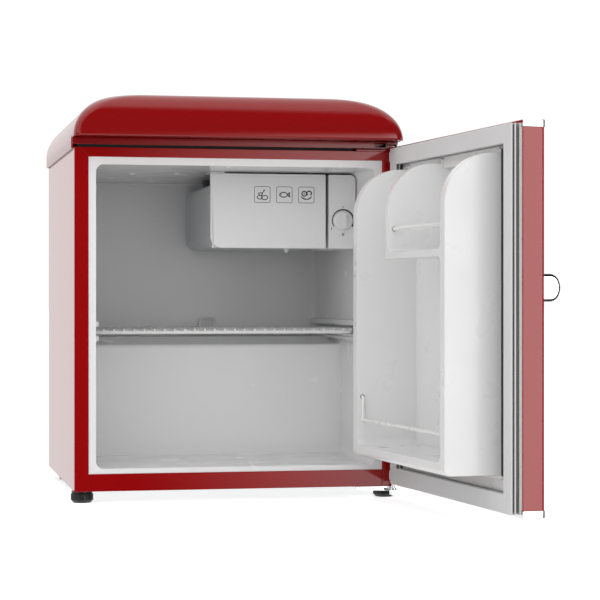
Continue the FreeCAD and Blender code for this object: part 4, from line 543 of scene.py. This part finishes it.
# ---------------------------------------------------------------- inner liner
# One sheet of white polystyrene, vacuum-formed into flange, walls, hump and shelf ribs, so every corner is
# soft and the surface is glossy with a very slight waviness.
polystyrene = surface("white_polystyrene", (0.85, 0.85, 0.85), 0.22, Coat_Weight=0.35, Coat_Roughness=0.06)
vary(polystyrene, "Base Color", (0.86, 0.86, 0.86), (0.83, 0.83, 0.835), 5.0)
vary(polystyrene, "Roughness", 0.18, 0.28, 18.0)
ripple(polystyrene, 45.0, 0.00004, 0.15)
eased("inner_liner", "liner_formed", polystyrene, 0.0040, 4)
white_moulding = surface("white_moulding", (0.80, 0.80, 0.80), 0.34, Coat_Weight=0.15, Coat_Roughness=0.2)
vary(white_moulding, "Roughness", 0.3, 0.4, 40.0)
ripple(white_moulding, 1400.0, 0.00003, 0.3)
show("ceiling_plugs", white_moulding)

# ---------------------------------------------------------------- freezer box
# A roll-bond aluminium evaporator, folded into an open-fronted box and coated light grey, hung from the
# ceiling; its white moulded flap turns on two pins at the left.
coated_aluminium = surface("coated_aluminium", (0.62, 0.63, 0.64), 0.42, Metallic=0.35)
vary(coated_aluminium, "Roughness", 0.34, 0.5, 25.0)
ripple(coated_aluminium, 220.0, 0.0003, 0.15)
eased("ice_box", "evaporator_folded", coated_aluminium, 0.0010)
for node in ("ice_box_nipple", "freezer_flap_bracket"):
    show(node, white_moulding)
eased("freezer_flap", "flap_moulded", white_moulding, 0.0009, 3)

# ---------------------------------------------------------------- control panel and knob
# A white moulded housing beside the freezer box with a round thermostat knob; its grip rib points at the
# printed dial.
eased("thermostat_housing", "panel_moulded", white_moulding, 0.0009, 3)
eased("thermostat_knob", "knob_moulded", white_moulding, 0.0004)
black_plastic = surface("black_plastic", (0.018, 0.018, 0.019), 0.42)
vary(black_plastic, "Roughness", 0.36, 0.5, 60.0)
ripple(black_plastic, 1600.0, 0.00006, 0.5)
show("thermostat_switch", black_plastic)
copper = surface("drawn_copper", (0.83, 0.42, 0.26), 0.3, Metallic=1.0)
vary(copper, "Base Color", (0.86, 0.46, 0.29), (0.62, 0.30, 0.18), 40.0, 5.0)
vary(copper, "Roughness", 0.2, 0.42, 90.0)
for node in ("thermostat_sensing_tube", "suction_tube", "discharge_tube", "filter_drier"):
    show(node, copper)

# ---------------------------------------------------------------- prints on the flap and the panel
# Black tampo prints, a few hundredths of a millimetre thick: three storage signs on the flap, and the
# knob's dial with its arc and its numbers.
PRINT_LIFT = 0.00012
ink = surface("print_ink", (0.012, 0.012, 0.012), 0.5)
vary(ink, "Roughness", 0.42, 0.58, 300.0)


def stroke(points, width, closed=False):
    """A line as quads: every point moves by half the width to both sides along its own normal."""
    points = np.asarray(points, float)
    width = np.broadcast_to(width, len(points))[:, None]
    if closed:
        tangent = np.roll(points, -1, 0) - np.roll(points, 1, 0)
    else:
        tangent = np.gradient(points, axis=0)
    tangent /= np.linalg.norm(tangent, axis=1)[:, None]
    normal = np.stack([-tangent[:, 1], tangent[:, 0]], axis=-1)
    count = len(points)
    i = np.arange(count if closed else count - 1)
    j = (i + 1) % count
    return (np.concatenate([points - normal * width / 2, points + normal * width / 2]),
            np.stack([i, j, j + count, i + count], axis=-1))


def arc(cx, cz, rx, rz, start, end, count=24):
    """Points of an ellipse's arc, angles in degrees: (cx + rx cos t, cz + rz sin t)."""
    t = np.radians(np.linspace(start, end, count))
    return np.stack([cx + rx * np.cos(t), cz + rz * np.sin(t)], axis=-1)


def rounded_square(half, radius):
    """A closed square of a half width whose corners are quarter circles."""
    inner = half - radius
    corners = ((inner, inner, 0.0), (-inner, inner, 90.0), (-inner, -inner, 180.0), (inner, -inner, 270.0))
    return np.concatenate([arc(x, z, radius, radius, a, a + 90.0, 7) for x, z, a in corners])


def printed(name, strokes, centre, body):
    """One print: its strokes, in metres round a centre, on a face that looks towards -Y."""
    points, quads, start = [], [], 0
    for outline, faces in strokes:
        points.append(outline)
        quads.append(faces + start)
        start += len(outline)
    flat = np.concatenate(points)
    mesh = bpy.data.meshes.new(name)
    depth = np.full(len(flat), centre[1] - PRINT_LIFT)
    spots = np.column_stack([centre[0] + flat[:, 0], depth, centre[2] + flat[:, 1]])
    mesh.from_pydata(spots.tolist(), [], np.concatenate(quads).tolist())
    work = bmesh.new()
    work.from_mesh(mesh)
    turned = [face for face in work.faces if face.normal.y > 0.0]
    bmesh.ops.reverse_faces(work, faces=turned)
    work.to_mesh(mesh)
    work.free()
    piece = place(name, mesh, ink)
    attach(piece, body)


MM = 0.001
FRAME_LINE = 0.65 * MM
INK_LINE = 1.15 * MM
FISH_LINE = 1.3 * MM
border = stroke(rounded_square(11.2 * MM, 2.2 * MM), FRAME_LINE, closed=True)
vegetables = [
    border,
    stroke(arc(-3.6 * MM, -3.8 * MM, 3.6 * MM, 2.6 * MM, 0, 360), INK_LINE, closed=True),
    stroke(arc(3.4 * MM, -4.2 * MM, 4.4 * MM, 3.0 * MM, 20, 380), INK_LINE, closed=True),
    stroke(arc(-2.4 * MM, 0.6 * MM, 2.4 * MM, 1.9 * MM, 0, 360), INK_LINE, closed=True),
    stroke([(-0.6 * MM, 0.8 * MM), (1.6 * MM, 4.0 * MM), (3.2 * MM, 7.0 * MM)],
           (1.6 * MM, 1.1 * MM, 2.0 * MM)),
    stroke([(-6.4 * MM, 2.6 * MM), (-4.4 * MM, 1.4 * MM)], INK_LINE),
]
fish = [
    border,
    stroke(arc(-1.2 * MM, -4.2 * MM, 7.2 * MM, 7.6 * MM, 35, 145), FISH_LINE),
    stroke(arc(-1.2 * MM, 4.2 * MM, 7.2 * MM, 7.6 * MM, 215, 325), FISH_LINE),
    stroke([(4.2 * MM, 0.0), (7.8 * MM, 3.2 * MM)], (1.2 * MM, 2.0 * MM)),
    stroke([(4.2 * MM, 0.0), (8.0 * MM, -3.0 * MM)], (1.2 * MM, 2.0 * MM)),
    stroke([(7.8 * MM, 3.2 * MM), (7.0 * MM, 0.0), (8.0 * MM, -3.0 * MM)], INK_LINE),
    stroke(arc(-4.6 * MM, 0.4 * MM, 0.5 * MM, 0.5 * MM, 0, 360), 0.7 * MM, closed=True),
]
meat = [
    border,
    stroke(arc(-3.0 * MM, 1.8 * MM, 3.4 * MM, 3.4 * MM, 0, 360), 1.5 * MM, closed=True),
    stroke(arc(4.0 * MM, 2.4 * MM, 3.4 * MM, 3.0 * MM, -60, 240), 1.7 * MM),
    stroke(arc(0.0, -1.0 * MM, 7.4 * MM, 5.2 * MM, 190, 350), 1.3 * MM),
    stroke(arc(0.4 * MM, -2.4 * MM, 5.0 * MM, 3.4 * MM, 195, 345), 0.7 * MM),
    stroke(arc(-3.0 * MM, 1.8 * MM, 1.0 * MM, 1.0 * MM, 0, 360), 0.6 * MM, closed=True),
]
flap_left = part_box("freezer_flap")[0].x
flap_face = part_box("freezer_flap")[0].y
SIGN_DROP = 29.1 * MM
FIRST_SIGN = 73.7
SIGN_PITCH = 31.7
sign_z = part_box("thermostat_housing")[1].z - SIGN_DROP
signs = (("sign_vegetables", vegetables), ("sign_fish", fish), ("sign_meat", meat))
for i, (name, strokes) in enumerate(signs):
    sign_x = flap_left + (FIRST_SIGN + i * SIGN_PITCH) * MM
    printed(name, strokes, (sign_x, flap_face, sign_z), "freezer_flap")


def digit(shape, angle, radius):
    """A number of the dial, drawn from straight strokes in a box of 2 by 3.2 millimetres."""
    cx = radius * math.cos(math.radians(angle))
    cz = radius * math.sin(math.radians(angle))
    box_points = {"a": (-1.0, 1.6), "b": (1.0, 1.6), "c": (1.0, 0.0), "d": (1.0, -1.6), "e": (-1.0, -1.6),
                  "f": (-1.0, 0.0), "t": (0.0, 1.6), "u": (0.0, -1.6)}
    path = np.array([box_points[key] for key in shape]) * MM + (cx, cz)
    return stroke(path, 0.9 * MM)


knob_middle = 0.5 * (np.array(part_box("thermostat_knob")[0]) + np.array(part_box("thermostat_knob")[1]))
panel_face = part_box("thermostat_housing")[0].y
DIAL_RADIUS = 15.6 * MM
DIAL_STEPS = 48
arc_widths = np.linspace(1.2, 2.6, DIAL_STEPS) * MM
dial = [
    stroke(arc(0.0, 0.0, DIAL_RADIUS, DIAL_RADIUS, 212, -32, DIAL_STEPS), arc_widths),
    digit("tu", 90, 19.4 * MM), digit("tu", 214, 20.0 * MM), digit("abceddc", -36, 20.0 * MM),
    digit("abdea", 270, 19.6 * MM),
]
printed("knob_dial", dial, (knob_middle[0], panel_face, knob_middle[2]), "cabinet")

# ---------------------------------------------------------------- wire shelf
# Steel bar and wires, welded and dipped in white plastic, so the finish is smooth and slightly soft at the
# welds. It slides between the liner's ribs.
dipped_white = surface("dipped_white", (0.82, 0.82, 0.815), 0.3, Coat_Weight=0.5, Coat_Roughness=0.12)
vary(dipped_white, "Roughness", 0.24, 0.38, 120.0)
ripple(dipped_white, 500.0, 0.00008, 0.4)
for node in ("shelf_frame", "shelf_wires", "shelf_stop", "rack_bar", "bottle_rail"):
    show(node, dipped_white)

# ---------------------------------------------------------------- feet and hinges
# Black moulded levelling feet with fluted rims; a chromed lower hinge bracket and a red-painted upper one;
# bright chromed pins.
chrome = surface("bright_chrome", (0.86, 0.87, 0.88), 0.05, Metallic=1.0)
vary(chrome, "Roughness", 0.03, 0.09, 70.0)
for node in ("levelling_foot_left", "levelling_foot_right", "rear_feet", "levelling_nuts"):
    show(node, black_plastic)
show("lower_hinge_pin", chrome)
show("upper_hinge_pin", chrome)
eased("lower_hinge_bracket", "lower_bracket_plated", chrome, 0.0005)
eased("upper_hinge_bracket", "upper_bracket_painted", enamel, 0.0005)
plated_screw = surface("plated_screw", (0.60, 0.61, 0.62), 0.28, Metallic=1.0)
vary(plated_screw, "Roughness", 0.22, 0.4, 200.0)
for node in ("cabinet_screws", "handle_screws", "compressor_bolts"):
    show(node, plated_screw)

# ---------------------------------------------------------------- door shell
# A painted steel shell like the side panels, closed above and below by chromed plastic caps.
eased("door_skin", "door_shell_painted", enamel, 0.0004)
chromed_plastic = surface("chromed_plastic", (0.88, 0.885, 0.89), 0.07, Metallic=1.0)
vary(chromed_plastic, "Roughness", 0.05, 0.12, 50.0)
eased("door_top_cap", "top_cap_chromed", chromed_plastic, 0.0006)
eased("door_bottom_cap", "bottom_cap_chromed", chromed_plastic, 0.0006)
# The handle's rounded edges get a near-black glossy finish: a painted dark reflection round the chrome,
# where real chrome mirrors the dark studio.
handle_painted_dark_edge = surface("handle_edge_painted_reflection", (0.008, 0.008, 0.009), 0.25)
vary(handle_painted_dark_edge, "Roughness", 0.2, 0.34, 90.0)
eased("door_handle", "handle_chromed", chrome, 0.0032, 3, shortest=0.0002, edge_finish=handle_painted_dark_edge)
eased("hinge_knuckles", "knuckles_painted", white_moulding, 0.0004)
show("hinge_bushes", white_moulding)

# ---------------------------------------------------------------- door liner
# White polystyrene, vacuum-formed over a tool with three pockets; its thin walls have soft rims. The channel
# between the moulding's side and the seal gets painted shade: a dark sheet over it, near black beside the
# moulding.
formed_liner = surface("formed_door_liner", (0.80, 0.80, 0.80), 0.3, Coat_Weight=0.3, Coat_Roughness=0.12)
vary(formed_liner, "Roughness", 0.26, 0.36, 18.0)
ripple(formed_liner, 45.0, 0.00004, 0.1)
soften(formed_liner, 0.0014)
show("door_liner", formed_liner)

REST_ANGLE = math.radians(95.0)
PIVOT = np.array(frame["record"]["behaviour"]["joints"][0]["pos_m"])
PIVOT_FROM_EDGE = 0.0052
PIVOT_FROM_INNER_FACE = 0.00645
CABINET_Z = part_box("side_panel_left")[0].z
ALONG = np.array([-math.cos(REST_ANGLE), -math.sin(REST_ANGLE), 0.0])
OUT = np.array([-math.sin(REST_ANGLE), math.cos(REST_ANGLE), 0.0])


def on_door(w, p, z):
    """Points on the open door: hinge axis + ALONG * (w - edge gap) + OUT * (p - face gap).

    w runs from the door's hinge edge, p stands out of its inner face, z is above the cabinet's underside.
    """
    w, p, z = np.broadcast_arrays(w, p, z)
    flat = (w - PIVOT_FROM_EDGE)[..., None] * ALONG + (p - PIVOT_FROM_INNER_FACE)[..., None] * OUT
    flat = flat + np.array([PIVOT[0], PIVOT[1], 0.0])
    flat[..., 2] = z + CABINET_Z
    return flat


def measured_along(finish, direction, offset):
    """A socket with the distance of a point along a direction: dot(position, direction) - offset."""
    tree = finish.node_tree
    where = tree.nodes.new("ShaderNodeTexCoord")
    dot = tree.nodes.new("ShaderNodeVectorMath")
    dot.operation = "DOT_PRODUCT"
    dot.inputs[1].default_value = direction
    less = tree.nodes.new("ShaderNodeMath")
    less.operation = "SUBTRACT"
    less.inputs[1].default_value = offset
    tree.links.new(where.outputs["Object"], dot.inputs[0])
    tree.links.new(dot.outputs["Value"], less.inputs[0])
    return less.outputs["Value"]


MOULDING_SIDE = 0.3843
PLINTH_SIDE = 0.3903
SEAL_SIDE = 0.4113
PLINTH_FACE = 0.0043
CHANNEL_LIFT = 0.0004
CHANNEL_ENDS = (0.046, 0.434)
SHADE_FADE_START = 0.004
channel_w = np.array([MOULDING_SIDE, PLINTH_SIDE, PLINTH_SIDE, SEAL_SIDE])
channel_p = np.array([PLINTH_FACE, PLINTH_FACE, CHANNEL_LIFT, CHANNEL_LIFT])
channel_z = np.linspace(*CHANNEL_ENDS, 9)
channel_points = on_door(channel_w[None, :], channel_p[None, :], channel_z[:, None])
# A thin dark sheet just in front of the liner plate; its colour is painted shade, near black beside the
# moulding and fading to dark grey towards the seal.
painted_shade_finish = surface("liner_painted_shade", (0.03, 0.03, 0.03), 0.5)
across = measured_along(painted_shade_finish, ALONG, float(PIVOT @ ALONG) - PIVOT_FROM_EDGE)
painted_shade_fade = painted_shade_finish.node_tree.nodes.new("ShaderNodeMapRange")
painted_shade_fade.inputs["From Min"].default_value = MOULDING_SIDE + SHADE_FADE_START
painted_shade_fade.inputs["From Max"].default_value = SEAL_SIDE
painted_shade_fade.inputs["To Min"].default_value = 0.008
painted_shade_fade.inputs["To Max"].default_value = 0.24
painted_shade_finish.node_tree.links.new(across, painted_shade_fade.inputs["Value"])
painted_shade_finish.node_tree.links.new(
    painted_shade_fade.outputs["Result"], painted_shade_finish.node_tree.nodes["Principled BSDF"].inputs["Base Color"])
painted_shade_strip = place("liner_channel_painted_shade", grid_mesh("liner_channel_painted_shade", channel_points), painted_shade_finish)
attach(painted_shade_strip, "door")


def ring_plate(name, centre, axis, inner, outer, finish, sides=32):
    """A flat ring: centre + radius * (cos t * a + sin t * b), with a and b across the axis."""
    turn = np.linspace(0.0, 2 * math.pi, sides, endpoint=False)
    a = np.array([0.0, 0.0, 1.0])
    b = np.cross(axis, a)
    spoke = np.cos(turn)[:, None] * a + np.sin(turn)[:, None] * b
    points = np.stack([centre + inner * spoke, centre + outer * spoke])
    return place(name, grid_mesh(name, points, wrap_columns=True), finish)


# A flat near-black ring lies round the end of each of the two wires, where they sit in holes.
POCKET_HINGE_WALL = 0.0573
DIVIDER_FREE_WALL = 0.1843
WIRE_STAND = 0.068
WIRE_RADIUS = 0.00215
RIM_INNER = 0.0022
RIM_OUTER = 0.0031
bar_z = 0.5 * (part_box("rack_bar")[0].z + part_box("rack_bar")[1].z) - CABINET_Z
rail_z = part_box("bottle_rail")[1].z - CABINET_Z - WIRE_RADIUS
for name, w, z in (("rack_bar_rim", DIVIDER_FREE_WALL, bar_z),
                   ("bottle_rail_rim", POCKET_HINGE_WALL, rail_z)):
    rim = ring_plate(name, on_door(w, WIRE_STAND, z), ALONG, RIM_INNER, RIM_OUTER, black_plastic)
    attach(rim, "door")

# ---------------------------------------------------------------- door seal
# Soft extruded vinyl with a magnet strip inside, clipped round the liner. Its bellows folds carry painted
# shade: dark bands between the middles and half widths listed next, measured out of the door's face.
vinyl_with_fold_shade = surface("seal_vinyl", (0.62, 0.62, 0.62), 0.5, Sheen_Weight=0.1)
vary(vinyl_with_fold_shade, "Roughness", 0.42, 0.6, 60.0)
SHADED_FOLDS = ((0.0045, 0.0020), (0.00975, 0.00125))
tree = vinyl_with_fold_shade.node_tree
height = measured_along(vinyl_with_fold_shade, OUT, float(PIVOT @ OUT) - PIVOT_FROM_INNER_FACE)
fold_shades = []
for middle, half in SHADED_FOLDS:
    fold_shade = tree.nodes.new("ShaderNodeMath")
    fold_shade.operation = "COMPARE"
    fold_shade.inputs[1].default_value = middle
    fold_shade.inputs[2].default_value = half
    tree.links.new(height, fold_shade.inputs[0])
    fold_shades.append(fold_shade.outputs["Value"])
either = tree.nodes.new("ShaderNodeMath")
either.operation = "MAXIMUM"
# The seal's grey turns near black inside the folds: painted shade.
tone = tree.nodes.new("ShaderNodeMapRange")
tone.inputs["To Min"].default_value = 0.66
tone.inputs["To Max"].default_value = 0.12
tree.links.new(fold_shades[0], either.inputs[0])
tree.links.new(fold_shades[1], either.inputs[1])
tree.links.new(either.outputs["Value"], tone.inputs["Value"])
tree.links.new(tone.outputs["Result"], tree.nodes["Principled BSDF"].inputs["Base Color"])
ripple(vinyl_with_fold_shade, 900.0, 0.00005, 0.4)
eased("door_gasket", "seal_extruded", vinyl_with_fold_shade, 0.0006)

# ---------------------------------------------------------------- compressor and its bay
# A black enamelled steel shell on rubber grommets, with its relay cover, a drip pan of black plastic on top
# and the grommets' bolts.
black_enamel = surface("black_enamel", (0.012, 0.012, 0.013), 0.3, Coat_Weight=0.4, Coat_Roughness=0.15)
vary(black_enamel, "Roughness", 0.25, 0.42, 30.0)
ripple(black_enamel, 500.0, 0.00006, 0.4)
show("compressor", black_enamel)
rubber = surface("black_rubber", (0.016, 0.016, 0.016), 0.8)
ripple(rubber, 1200.0, 0.00006, 0.5)
show("compressor_grommets", rubber)
for node in ("relay_box", "evaporating_pan", "cord_gland", "condenser_brackets"):
    show(node, black_plastic)

# ---------------------------------------------------------------- condenser
# A serpentine steel tube with fine wires spot-welded on both sides, all dipped in satin black.
show("condenser_coil", black_enamel)
show("condenser_wires", black_enamel)
